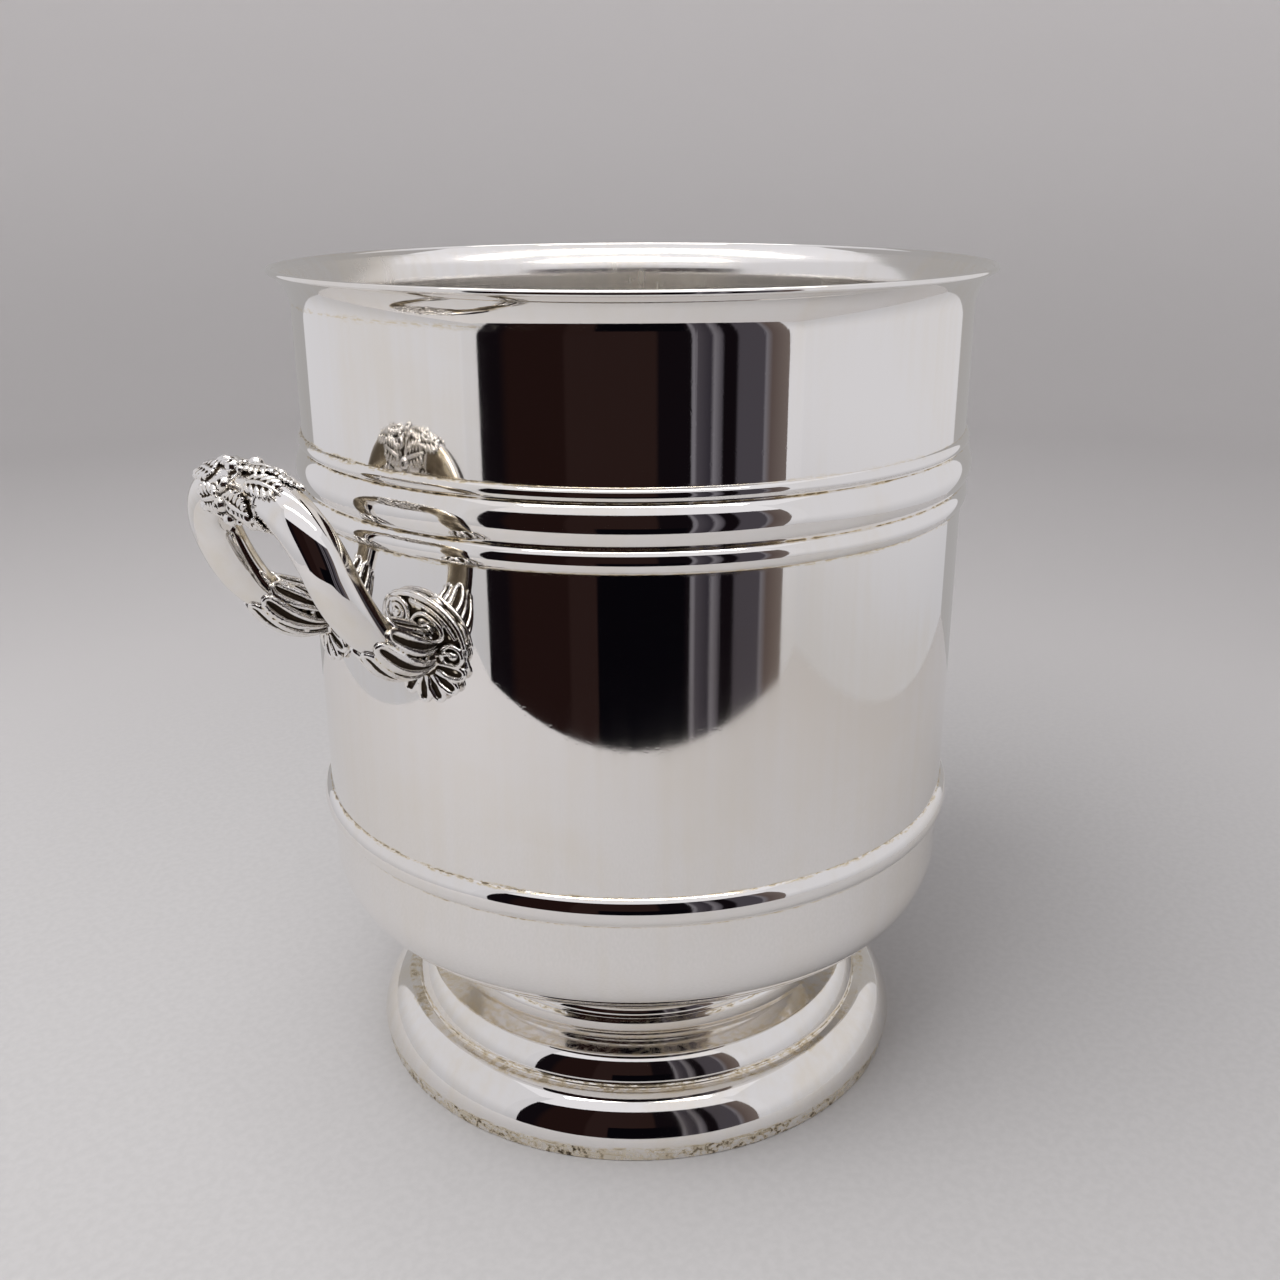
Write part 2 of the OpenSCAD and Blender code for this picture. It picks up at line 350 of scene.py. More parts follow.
def mark_hollows(piece: Shape, rounds: int, depth: float) -> None:
    """Marks the points that lie deeper than the skin around them.

    Args:
        piece: the piece to mark.
        rounds: how often the skin is averaged before it is compared.
        depth: the depth in metres that counts as a full hollow.
    """
    co = points_of(piece)
    edges = np.empty(len(piece.data.edges) * 2, np.int64)
    piece.data.edges.foreach_get("vertices", edges)
    a, b = edges.reshape(-1, 2).T
    count = np.bincount(np.concatenate([a, b]), minlength=len(co)).clip(1)[:, None]
    normals = np.empty(len(co) * 3, np.float32)
    piece.data.vertices.foreach_get("normal", normals)
    normals = normals.reshape(-1, 3)

    def averaged(values: np.ndarray) -> np.ndarray:
        """Returns each point's mean over its neighbours."""
        total = np.zeros_like(values)
        for k in range(values.shape[1]):
            total[:, k] = (np.bincount(a, values[b, k], len(co))
                           + np.bincount(b, values[a, k], len(co)))
        return total / count

    soft, soft_normals = co.copy(), normals.astype(float)
    for _ in range(rounds):
        soft = averaged(soft)
        soft_normals = averaged(soft_normals)
    soft_normals /= np.linalg.norm(soft_normals, axis=1, keepdims=True).clip(1e-9)
    relief = ((soft - co) * soft_normals).sum(1) / depth
    for _ in range(2):
        relief = averaged(relief[:, None])[:, 0]
    store_mask(piece, HOLLOW, (0.5 + 0.5 * relief).clip(0, 1))


def arc(centre: Point, radius: float, start: float, stop: float, step: float = 4) -> list[Point]:
    """Returns points of an arc.

    Args:
        centre: the arc's centre.
        radius: its radius.
        start: its first angle, in degrees.
        stop: its last angle, in degrees.
        step: the most degrees between two points.

    Returns:
        Its points, both ends included.
    """
    count = max(1, math.ceil(abs(stop - start) / step))
    angles = [math.radians(start + (stop - start) * i / count) for i in range(count + 1)]
    return [(centre[0] + radius * math.cos(a), centre[1] + radius * math.sin(a)) for a in angles]


def bulge(p: Point, q: Point, proud: float, step: float = 2) -> list[Point]:
    """Returns a shallow arc from p to q that stands proud to the right of the line between them."""
    chord = math.dist(p, q)
    radius = (chord * chord / 4 + proud * proud) / (2 * proud)
    right = ((q[1] - p[1]) / chord, (p[0] - q[0]) / chord)
    centre = ((p[0] + q[0]) / 2 - (radius - proud) * right[0],
              (p[1] + q[1]) / 2 - (radius - proud) * right[1])
    start = math.degrees(math.atan2(p[1] - centre[1], p[0] - centre[0]))
    stop = math.degrees(math.atan2(q[1] - centre[1], q[0] - centre[0]))
    return arc(centre, radius, start, stop, step)


def beside(path: Sequence[Point], gap: float) -> list[Point]:
    """Returns a path moved sideways, to its left."""
    line = np.array(path)
    ahead = np.gradient(line, axis=0)
    ahead /= np.linalg.norm(ahead, axis=1, keepdims=True)
    moved = line + gap * np.stack([-ahead[:, 1], ahead[:, 0]], 1)
    return [(float(x), float(z)) for x, z in moved]


# ---- Finishes ----


class Wiring:
    """A node tree with short ways to add, set and link its nodes."""

    def __init__(self, tree: bpy.types.NodeTree) -> None:
        """Takes the tree to work in."""
        self.tree = tree

    def add(self, kind: str, inputs: dict | None = None, **settings: object) -> bpy.types.Node:
        """Adds a node.

        Args:
            kind: the node's type, without its ShaderNode prefix.
            inputs: what each input is set to or linked from, by name or number.
            settings: the node's own settings.

        Returns:
            The node.
        """
        prefix = "" if kind.startswith("NodeGroup") else "ShaderNode"
        node = self.tree.nodes.new(prefix + kind)
        for key, value in settings.items():
            setattr(node, key, value)
        for key, value in (inputs or {}).items():
            if isinstance(value, bpy.types.NodeSocket):
                self.tree.links.new(value, node.inputs[key])
            else:
                node.inputs[key].default_value = value
        return node

    def sum(self, operation: str, a: object, b: object = 0.0, clamp: bool = False) -> object:
        """Adds a math node and returns its result."""
        return self.add("Math", {0: a, 1: b}, operation=operation, use_clamp=clamp).outputs[0]

    def ramp(self, value: object, low: float, high: float, to_low: float = 0.0,
             to_high: float = 1.0) -> object:
        """Adds a smooth map of a value from one range to another and returns its result."""
        return self.add("MapRange", {"Value": value, "From Min": low, "From Max": high,
                                     "To Min": to_low, "To Max": to_high},
                        interpolation_type="SMOOTHSTEP").outputs["Result"]

    def noise(self, vector: object, scale: float, detail: float = 3.0,
              rough: float = 0.5) -> object:
        """Adds a noise texture and returns its value."""
        return self.add("TexNoise", {"Vector": vector, "Scale": scale, "Detail": detail,
                                     "Roughness": rough}).outputs["Fac"]

    def mix(self, share: object, a: object, b: object) -> object:
        """Adds a colour mix and returns its result."""
        node = self.add("Mix", data_type="RGBA")
        for socket, value in ((node.inputs[0], share), (node.inputs[6], a), (node.inputs[7], b)):
            if isinstance(value, bpy.types.NodeSocket):
                self.tree.links.new(value, socket)
            else:
                socket.default_value = value
        return node.outputs[2]

    def roughen(self, height: object, depth: float) -> None:
        """Adds a second bump on top of the one that the tree's metal has.

        Args:
            height: the socket that gives the bump's height.
            depth: how far it reaches, in metres.
        """
        shader = next(n for n in self.tree.nodes if n.type == "BSDF_PRINCIPLED")
        first = shader.inputs["Normal"].links[0].from_socket
        bump = self.add("Bump", {"Height": height, "Strength": 1.0, "Distance": depth,
                                 "Normal": first})
        self.tree.links.new(bump.outputs["Normal"], shader.inputs["Normal"])

    def off_axis(self, place: object) -> object:
        """Returns how far a place lies from the Z axis."""
        across = self.add("VectorMath", {0: place, 1: (1, 1, 0)}, operation="MULTIPLY").outputs[0]
        return self.add("VectorMath", {0: across}, operation="LENGTH").outputs["Value"]

    def stretched(self, scale: Sequence[float]) -> object:
        """Returns object coordinates, stretched by a scale along each axis."""
        place = self.add("TexCoord").outputs["Object"]
        return self.add("Mapping", {"Vector": place, "Scale": tuple(scale)}).outputs["Vector"]


def new_group(name: str, inputs: dict[str, float], outputs: Sequence[str]) -> Wiring:
    """Starts a shader node group.

    Args:
        name: the group's name.
        inputs: its inputs and what each is at first.
        outputs: its outputs.

    Returns:
        The wiring of the new group.
    """
    tree = bpy.data.node_groups.new(name, "ShaderNodeTree")
    for key, value in inputs.items():
        socket = tree.interface.new_socket(key, in_out="INPUT", socket_type="NodeSocketFloat")
        socket.default_value = value
    for key in outputs:
        tree.interface.new_socket(key, in_out="OUTPUT", socket_type="NodeSocketFloat")
    return Wiring(tree)


class Effects:
    """The surface effects that several finishes share, each a node group built once."""

    def __init__(self) -> None:
        """Builds every group."""
        self.seam = self._seam_grime()
        self.haze = self._polish_haze()
        self.scratches = self._fine_scratches()
        self.hollows = self._hollow_grime()

    @staticmethod
    def _seam_grime() -> bpy.types.NodeTree:
        """Tarnish that stays in the seam beside a wire, in broken dots."""
        w = new_group("Seam grime", {"Height": 0.1, "Spread": 0.001, "Amount": 1.0,
                                     "Near handles": 0.0}, ["Mask"])
        given = w.add("NodeGroupInput").outputs
        place = w.add("TexCoord").outputs["Object"]
        xyz = w.add("SeparateXYZ", {0: place}).outputs
        off = w.sum("ABSOLUTE", w.sum("SUBTRACT", xyz["Z"], given["Height"]))
        wander = w.ramp(w.noise(place, 90, 4), 0.3, 0.7, 0.35, 1.5)
        near = w.sum("SUBTRACT", 1.0, w.sum("DIVIDE", off, w.sum("MULTIPLY", given["Spread"],
                                                                 wander)), clamp=True)
        grain = w.noise(w.stretched((380, 380, 1500)), 1.0, 6, 0.7)
        dots = w.ramp(grain, 0.40, 0.60, 0.12, 1.0)
        aside = w.sum("DIVIDE", w.sum("ABSOLUTE", xyz["X"]), w.off_axis(place))
        close = w.ramp(aside, 0.55, 0.97)
        weight = w.sum("ADD", w.sum("SUBTRACT", 1.0, given["Near handles"]),
                       w.sum("MULTIPLY", given["Near handles"], close))
        mask = w.sum("MULTIPLY", w.sum("MULTIPLY", near, w.sum("MULTIPLY", dots, weight)),
                     given["Amount"], clamp=True)
        w.add("NodeGroupOutput", {"Mask": mask})
        return w.tree

    @staticmethod
    def _polish_haze() -> bpy.types.NodeTree:
        """Cloudy patches where the polish has gone, and where fingers and cloths went."""
        w = new_group("Polish haze", {"Scale": 14.0, "Low": 0.03, "High": 0.12},
                      ["Mask", "Roughness"])
        given = w.add("NodeGroupInput").outputs
        place = w.add("TexCoord").outputs["Object"]
        cloud = w.add("TexNoise", {"Vector": place, "Scale": given["Scale"], "Detail": 5.0,
                                   "Roughness": 0.55, "Distortion": 0.6}).outputs["Fac"]
        wipe = w.noise(w.stretched((260, 260, 9)), 1.0, 3)
        both = w.sum("ADD", w.sum("MULTIPLY", cloud, 0.75), w.sum("MULTIPLY", wipe, 0.25))
        mask = w.ramp(both, 0.42, 0.68)
        span = w.sum("SUBTRACT", given["High"], given["Low"])
        rough = w.sum("ADD", given["Low"], w.sum("MULTIPLY", mask, span))
        w.add("NodeGroupOutput", {"Mask": mask, "Roughness": rough})
        return w.tree

    @staticmethod
    def _fine_scratches() -> bpy.types.NodeTree:
        """Hairline scratches from cleaning, in crossing directions, and a slow waver of the sheet."""
        w = new_group("Fine scratches", {"Lines": 1.0, "Waver": 1.0}, ["Height"])
        given = w.add("NodeGroupInput").outputs
        lines = None
        for turn, scale in (((0.2, 0.1, 0.3), (900, 900, 26)), ((0.9, 0.4, 0.0), (40, 900, 900)),
                            ((0.3, 1.1, 0.6), (900, 60, 700))):
            place = w.add("TexCoord").outputs["Object"]
            tilted = w.add("Mapping", {"Vector": place, "Rotation": turn, "Scale": scale})
            streak = w.ramp(w.noise(tilted.outputs[0], 1.0, 2), 0.60, 0.72)
            lines = streak if lines is None else w.sum("MAXIMUM", lines, streak)
        waver = w.noise(w.add("TexCoord").outputs["Object"], 17, 1)
        height = w.sum("ADD", w.sum("MULTIPLY", lines, w.sum("MULTIPLY", given["Lines"], -0.02)),
                       w.sum("MULTIPLY", waver, given["Waver"]))
        w.add("NodeGroupOutput", {"Height": height})
        return w.tree

    @staticmethod
    def _hollow_grime() -> bpy.types.NodeTree:
        """Dark tarnish that fills the hollows of a casting and is rubbed off its high parts."""
        w = new_group("Hollow grime", {"Start": 0.5, "Full": 0.75}, ["Mask"])
        given = w.add("NodeGroupInput").outputs
        place = w.add("TexCoord").outputs["Object"]
        depth = w.add("Attribute", attribute_name=HOLLOW).outputs["Fac"]
        broken = w.sum("ADD", depth, w.ramp(w.noise(place, 700, 4), 0.3, 0.7, -0.07, 0.07))
        mask = w.add("MapRange", {"Value": broken, "From Min": given["Start"],
                                  "From Max": given["Full"]},
                     interpolation_type="SMOOTHSTEP").outputs["Result"]
        w.add("NodeGroupOutput", {"Mask": mask})
        return w.tree


@dataclass(frozen=True)
class Seam:
    """A seam where tarnish stays: its height, spread, amount, and how far it keeps to the handles."""

    height: float
    spread: float
    amount: float
    near_handles: float = 0.0


@dataclass(frozen=True)
class Silver:
    """A silver finish.

    Its colours are those of clean metal, of thin yellow tarnish and of thick dark tarnish.
    """

    name: str
    clean: tuple = (0.885, 0.868, 0.85, 1)
    warm: tuple = (0.80, 0.70, 0.52, 1)
    dark: tuple = (0.11, 0.082, 0.055, 1)
    rough_low: float = 0.025
    rough_high: float = 0.07
    haze_scale: float = 14.0
    haze_tint: float = 0.25
    waver: float = 1.0
    lines: float = 1.0
    bump: float = 0.00003
    seams: tuple = ()

    def made(self, effects: Effects) -> bpy.types.Material:
        """Builds the material.

        Args:
            effects: the shared node groups.

        Returns:
            The finished material.
        """
        material = bpy.data.materials.new(self.name)
        material.use_nodes = True
        w = Wiring(material.node_tree)
        w.tree.nodes.clear()
        haze = w.add("Group", node_tree=effects.haze)
        haze.inputs["Scale"].default_value = self.haze_scale
        haze.inputs["Low"].default_value = self.rough_low
        haze.inputs["High"].default_value = self.rough_high
        grime = self.grime(w, effects)
        colour, rough = self.dressed(w, haze, grime)
        fine = w.add("Group", node_tree=effects.scratches)
        fine.inputs["Lines"].default_value = self.lines
        fine.inputs["Waver"].default_value = self.waver
        bump = w.add("Bump", {"Height": fine.outputs["Height"], "Strength": 1.0,
                              "Distance": self.bump})
        shader = w.add("BsdfPrincipled", {"Base Color": colour, "Metallic": 1.0,
                                          "Roughness": rough, "Normal": bump.outputs["Normal"]})
        w.add("OutputMaterial", {"Surface": shader.outputs[0]})
        return material

    def grime(self, w: Wiring, effects: Effects) -> object:
        """Returns the mask of the tarnish in all the seams, or None."""
        mask = None
        for seam in self.seams:
            node = w.add("Group", {"Height": seam.height, "Spread": seam.spread,
                                   "Amount": seam.amount, "Near handles": seam.near_handles},
                         node_tree=effects.seam)
            found = node.outputs["Mask"]
            mask = found if mask is None else w.sum("MAXIMUM", mask, found)
        return mask

    def dressed(self, w: Wiring, haze: bpy.types.Node, grime: object) -> tuple:
        """Returns the colour and roughness of the metal under its haze and grime."""
        tint = w.sum("MULTIPLY", haze.outputs["Mask"], self.haze_tint)
        colour = w.mix(tint, self.clean, self.warm)
        if grime is None:
            return colour, haze.outputs["Roughness"]
        colour = w.mix(w.ramp(grime, 0.0, 0.45), colour, self.warm)
        colour = w.mix(w.ramp(grime, 0.25, 0.9), colour, self.dark)
        rough = w.sum("ADD", haze.outputs["Roughness"], w.sum("MULTIPLY", grime, 0.4), clamp=True)
        return colour, rough


@dataclass(frozen=True)
class CastSilver(Silver):
    """Silver of a chased casting, with dark tarnish in its hollows."""

    start: float = 0.5
    full: float = 0.68
    grain_depth: float = 0.00009

    def made(self, effects: Effects) -> bpy.types.Material:
        """Builds the material, with the pitted skin that a mould leaves.

        Args:
            effects: the shared node groups.

        Returns:
            The finished material.
        """
        material = super().made(effects)
        w = Wiring(material.node_tree)
        w.roughen(w.noise(w.add("TexCoord").outputs["Object"], 1300, 2), self.grain_depth)
        return material

    def grime(self, w: Wiring, effects: Effects) -> object:
        """Returns the mask of the tarnish in the casting's hollows."""
        node = w.add("Group", {"Start": self.start, "Full": self.full}, node_tree=effects.hollows)
        return node.outputs["Mask"]


@dataclass(frozen=True)
class BowSilver(Silver):
    """Silver of the bow, yellower and darker on the side that faces the wall."""

    def grime(self, w: Wiring, effects: Effects) -> object:
        """Returns the mask of the yellowing and darkening towards the wall."""
        inner = w.add("Attribute", attribute_name=INNER_SIDE).outputs["Fac"]
        place = w.add("TexCoord").outputs["Object"]
        patchy = w.sum("ADD", inner, w.ramp(w.noise(place, 120, 4), 0.3, 0.7, -0.2, 0.2))
        return w.ramp(patchy, 0.35, 1.1, 0.0, 0.75)


@dataclass(frozen=True)
class BrushedSilver(Silver):
    """Satin silver inside the bowl, with the fine rings that spinning left."""

    ring_depth: float = 0.00002

    def made(self, effects: Effects) -> bpy.types.Material:
        """Builds the material.

        Args:
            effects: the shared node groups.

        Returns:
            The finished material.
        """
        material = super().made(effects)
        w = Wiring(material.node_tree)
        w.roughen(w.noise(w.stretched((6, 6, 2600)), 1.0, 3), self.ring_depth)
        return material


@dataclass(frozen=True)
class WornSilver(Silver):
    """The base band, rubbed on the table and speckled with grey and brown tarnish."""

    def grime(self, w: Wiring, effects: Effects) -> object:
        """Returns the mask of the speckles."""
        place = w.add("TexCoord").outputs["Object"]
        spots = w.ramp(w.noise(place, 520, 6, 0.7), 0.42, 0.66)
        broad = w.ramp(w.noise(place, 60, 3), 0.3, 0.65, 0.3, 1.0)
        streaks = w.ramp(w.noise(w.stretched((120, 120, 1600)), 1.0, 3), 0.45, 0.75, 0.0, 0.5)
        return w.sum("MAXIMUM", w.sum("MULTIPLY", spots, broad), streaks)


def dress(piece: Shape, slot: Slot, nodes: Sequence[str], *materials: bpy.types.Material) -> None:
    """Gives a piece its materials, hangs it under the root and hides the frame's parts that it
    replaces.

    Args:
        piece: the finished piece.
        slot: the record's slot for its finish.
        nodes: the frame's nodes that it replaces.
        materials: its materials, the main one first.
    """
    piece.data.materials.clear()
    for material in materials:
        piece.data.materials.append(material)
    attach(piece, ROOT)
    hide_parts(*nodes)
    LOG.info("%s: %d faces, %s", piece.name, len(piece.data.polygons), slot.value)


# ---- Bowl, wires and foot ----


@dataclass
class Bowl:
    """The spun bowl: bottom, wall and flared mouth, bright outside and satin inside."""

    wall_r: float = 94.5 * MM
    sheet: float = 1.0 * MM
    flare_r: float = 11 * MM
    flare_turn: float = 58
    lip_r: float = 0.8 * MM
    corner_r: float = 20 * MM
    corner_z: float = 69 * MM
    corner_turn: float = 55
    bottom_r: float = 90 * MM
    wall_rows: int = 9

    def bottom_centre(self) -> Point:
        """Returns the centre of the flatter curve under the bowl."""
        reach = self.bottom_r - self.corner_r
        turn = math.radians(self.corner_turn)
        return (self.wall_r - self.corner_r - reach * math.cos(turn),
                self.corner_z + reach * math.sin(turn))

    def flare_z(self) -> float:
        """Returns the height at which the wall starts to flare."""
        rise = math.sin(math.radians(self.flare_turn))
        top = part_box("bowl")[1].z
        return top - self.lip_r - (self.sheet / 2 + self.flare_r) * rise

    def outline(self) -> list[Point]:
        """Returns the bowl's outer face, from the middle of its bottom up to the lip."""
        centre = self.bottom_centre()
        foot_z = centre[1] - self.bottom_r
        flat = [(centre[0] * k / 6, foot_z) for k in range(6)]
        bottom = arc(centre, self.bottom_r, -90, -self.corner_turn, 2)
        corner = arc((self.wall_r - self.corner_r, self.corner_z), self.corner_r,
                     -self.corner_turn, 0, 3)
        low, high = self.corner_z, self.flare_z()
        rows = [low + 0.4 * MM, low + 1.2 * MM]
        rows += [low + (high - low) * k / self.wall_rows for k in range(1, self.wall_rows)]
        rows += [high - 1.2 * MM, high - 0.4 * MM]
        wall = [(self.wall_r, z) for z in rows]
        flare = arc((self.wall_r + self.flare_r, high), self.flare_r, 180,
                    180 - self.flare_turn, 3)
        return flat + bottom + corner[1:] + wall + flare

    def build(self) -> Shape:
        """Turns the bowl from one closed outline."""
        outer = self.outline()
        inner = beside(outer, self.sheet)
        inner[0] = (0.0, outer[0][1] + self.sheet)
        end = np.array(outer[-1])
        across = np.array(inner[-1]) - end
        middle = end + across / 2
        start = math.degrees(math.atan2(*(-across)[::-1]))
        lip = arc((float(middle[0]), float(middle[1])), self.lip_r, start - 20, start + 200, 12)
        piece = Bench.turn("bowl_spun", outer[:-1] + lip + inner[-2::-1])
        Bench.pick(piece)
        bpy.ops.object.shade_smooth()
        return piece

    def dress(self, piece: Shape, bright: bpy.types.Material, satin: bpy.types.Material) -> None:
        """Gives the outside its bright finish and the inside its satin one."""
        dress(piece, Slot.BRIGHT, ["bowl"], bright, satin)
        lip_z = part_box("bowl")[1].z - 2.1 * self.lip_r
        flare_z = self.flare_z()
        for face in piece.data.polygons:
            out = Vector((face.center.x, face.center.y, 0)).normalized()
            inward = face.normal.dot(out) < -0.05
            floor = face.normal.z > 0.3 and face.center.z < self.corner_z
            flare = face.normal.z > 0.35 and face.center.z > flare_z
            lip = face.center.z > lip_z
            face.material_index = int((inward or floor or flare) and not lip)


@dataclass
class Wire:
    """A half-round wire laid round the wall, or the neck ring."""

    node: str
    name: str
    wall_r: float
    seat: float = 0.35 * MM

    def build(self) -> Shape:
        """Turns the wire, seated a little into the wall."""
        low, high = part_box(self.node)
        proud = high.x - self.wall_r
        p, q = (self.wall_r, low.z), (self.wall_r, high.z)
        back = [(self.wall_r - self.seat, high.z), (self.wall_r - self.seat, low.z)]
        return Bench.turn(self.name, bulge(p, q, proud) + back + [p])


@dataclass
class Foot:
    """The moulded foot: neck, cove, ledge, knurl, quirk and ovolo, hollow below."""

    sheet: float = 1.0 * MM
    neck_r: float = 53.5 * MM
    cove_r: float = 7 * MM
    ledge_z: float = 23.8 * MM
    ledge_r: float = 67.6 * MM
    quirk_r: float = 71.8 * MM
    quirk_z: float = 17.8 * MM
    quirk_w: float = 3.1 * MM
    quirk_drop: float = 1.2 * MM
    knurl_p: float = 0.5 * MM
    ovolo_p: float = 1.9 * MM
    foot_r: float = 83.8 * MM
    edge: float = 0.35 * MM

    def outline(self) -> list[Point]:
        """Returns the foot's outer face, from the base band up to the neck."""
        low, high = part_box("foot")
        top = (self.quirk_r + self.quirk_w, self.quirk_z - self.quirk_drop)
        ovolo = bulge((self.foot_r, low.z), top, self.ovolo_p)
        quirk = [(top[0] - self.edge, top[1]), (self.quirk_r + self.edge, top[1]),
                 (self.quirk_r, top[1] + self.edge)]
        knurl = bulge((self.quirk_r, self.quirk_z), (self.ledge_r, self.ledge_z), self.knurl_p)
        shoulder = [(self.ledge_r - 0.6 * self.edge, self.ledge_z + 0.3 * self.edge),
                    (self.ledge_r - 2 * self.edge, self.ledge_z + 0.3 * self.edge)]
        cove = arc((self.neck_r + self.cove_r, self.ledge_z + self.cove_r), self.cove_r,
                   -90, -180, 5)
        return ovolo + quirk + knurl + shoulder + cove + [(self.neck_r, high.z)]

    def build(self) -> Shape:
        """Turns the foot from its outer face and a hollow inner one."""
        outer = self.outline()
        inner = beside(outer, self.sheet)
        inner[-1] = (self.neck_r - self.sheet, outer[-1][1])
        inner[0] = (outer[0][0] - self.sheet, outer[0][1])
        return Bench.turn("foot_moulded", outer + inner[::-1] + outer[:1])


@dataclass
class BaseBand:
    """The plain band that the bucket stands on, with softened edges."""

    edge: float = 0.5 * MM
    width: float = 3 * MM

    def build(self) -> Shape:
        """Turns the band from a square section with rounded corners."""
        low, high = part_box("base_band")
        r1, r0 = high.x, high.x - self.width
        z0, z1, e = low.z, high.z, self.edge
        section = (arc((r1 - e, z0 + e), e, -90, 0, 20) + arc((r1 - e, z1 - e), e, 0, 90, 20)
                   + arc((r0 + e, z1 - e), e, 90, 180, 20) + arc((r0 + e, z0 + e), e, 180, 270, 20))
        return Bench.turn("base_band_worn", section + section[:1])


# ---- Handles ----


@dataclass
class HandleRail:
    """The centreline of a handle, from its back root over the crest to its front root.

    A piece is modelled straight, with X along the bar, Y to its side and Z away from the wall,
    and then bent along this line.
    """

    wall_r: float = 94.5 * MM
    root_z: float = 153 * MM
    root_half: float = 20.9 * MM
    elbow: Point = (116 * MM, 154 * MM)
    crest: Point = (124.3 * MM, 193.6 * MM)
    shoulder_half: float = 25.3 * MM
    shoulder_r: float = 16.6 * MM
    leg_swell: float = 2.2 * MM
    corner_a: float = 0.79
    sheath_q: float = 0.53
    taper_q: float = 0.4
    bar_r: float = 5.9 * MM
    bar_end_r: float = 4.9 * MM
    crest_bar_r: float = 5.5 * MM
    steps: int = 240
    length: np.ndarray = field(init=False)
    middle: np.ndarray = field(init=False)
    ahead: np.ndarray = field(init=False)
    out: np.ndarray = field(init=False)
    radius: np.ndarray = field(init=False)
    sheath_end: float = field(init=False)
    crest_at: float = field(init=False)

    def __post_init__(self) -> None:
        """Measures the line once, in many short steps."""
        q = np.linspace(0, 1, self.steps)
        turn = np.linspace(0, math.pi / 2, self.steps)[1:]
        bar = np.linspace(self.shoulder_half - self.shoulder_r, 0, self.steps // 4)[1:]
        a = np.concatenate([self.corner_a * q, self.corner_a + (1 - self.corner_a) * np.sin(turn),
                            np.ones_like(bar)])
        aside = np.concatenate([
            self.root_half + (self.shoulder_half - self.root_half) * q
            + self.leg_swell * np.sin(math.pi * q),
            self.shoulder_half - self.shoulder_r * (1 - np.cos(turn)), bar])
        grown = np.clip((q - self.sheath_q) / self.taper_q, 0, 1)
        radius = np.concatenate([
            self.bar_end_r + (self.bar_r - self.bar_end_r) * np.sin(math.pi / 2 * grown),
            self.bar_r + (self.crest_bar_r - self.bar_r) * turn / (math.pi / 2),
            np.full_like(bar, self.crest_bar_r)])
        root = (math.sqrt(self.wall_r ** 2 - self.root_half ** 2), self.root_z)
        p, e, c = (np.array(v)[:, None] for v in (root, self.elbow, self.crest))
        rise = (1 - a) ** 2 * p + 2 * a * (1 - a) * e + a ** 2 * c
        slope = (1 - a) * (e - p) + a * (c - e)
        slope /= np.linalg.norm(slope, axis=0)
        half = np.stack([rise[0], aside, rise[1]], 1)
        out = np.stack([slope[1], np.zeros_like(a), -slope[0]], 1)
        self.middle = np.concatenate([half, half[-2::-1] * (1, -1, 1)])
        self.out = np.concatenate([out, out[-2::-1]])
        self.radius = np.concatenate([radius, radius[-2::-1]])
        step = np.linalg.norm(np.diff(self.middle, axis=0), axis=1)
        self.length = np.concatenate([[0], np.cumsum(step)])
        self.ahead = np.gradient(self.middle, self.length, axis=0)
        self.sheath_end = float(self.length[int(self.sheath_q * self.steps)])
        self.crest_at = float(self.length[-1] / 2)

    def at(self, along: np.ndarray, table: np.ndarray) -> np.ndarray:
        """Looks a table up at lengths along the line, and past its ends too."""
        inside = np.clip(along, 0, self.length[-1])
        if table.ndim == 1:
            return np.interp(inside, self.length, table)
        return np.stack([np.interp(inside, self.length, table[:, k]) for k in range(3)], 1)

    def bend(self, piece: Shape) -> None:
        """Bends a straight piece along the line.

        Args:
            piece: a mesh with X as length along the line, Y to the side and Z outwards.
        """
        co = points_of(piece)
        ahead = self.at(co[:, 0], self.ahead)
        ahead /= np.linalg.norm(ahead, axis=1, keepdims=True)
        out = self.at(co[:, 0], self.out)
        side = np.cross(out, ahead)
        side /= np.linalg.norm(side, axis=1, keepdims=True)
        out = np.cross(ahead, side)
        past = co[:, 0] - np.clip(co[:, 0], 0, self.length[-1])
        moved = (self.at(co[:, 0], self.middle) + past[:, None] * ahead
                 + co[:, 1:2] * side + co[:, 2:3] * out)
        set_points(piece, moved)


def wrapped(piece: Shape, ring_r: Callable[[np.ndarray], np.ndarray], angle: float) -> None:
    """Rolls a flat ornament round the straight bar.

    Args:
        piece: a mesh with X along the bar, Y across and Z as its height over the bar.
        ring_r: gives the bar's radius at each X.
        angle: where the ornament's middle lies round the bar, in radians from Z.
    """
    co = points_of(piece)
    base = ring_r(co[:, 0])
    turn = angle + co[:, 1] / base
    radius = base + co[:, 2]
    set_points(piece, np.stack([co[:, 0], -radius * np.sin(turn), radius * np.cos(turn)], 1))


@dataclass
class Bow:
    """The plain bar of a handle, between its two leaf sheaths."""

    rail: HandleRail
    overlap: float = 3 * MM
    step: float = 0.9 * MM
    sides: int = 56

    def build(self) -> Shape:
        """Makes a straight bar that swells as the bow does, and bends it along the rail."""
        start = self.rail.sheath_end - self.overlap
        stop = float(self.rail.length[-1]) - start
        count = math.ceil((stop - start) / self.step)
        stations = np.linspace(start, stop, count + 1)
        piece = Bench.bar("bow", stations, self.rail.at(stations, self.rail.radius), self.sides)
        straight = points_of(piece)
        inner = np.clip(-straight[:, 2] / np.hypot(straight[:, 1], straight[:, 2]).clip(1e-6),
                        0, 1)
        self.rail.bend(piece)
        store_mask(piece, INNER_SIDE, inner)
        Bench.pick(piece)
        bpy.ops.object.shade_smooth()
        return piece


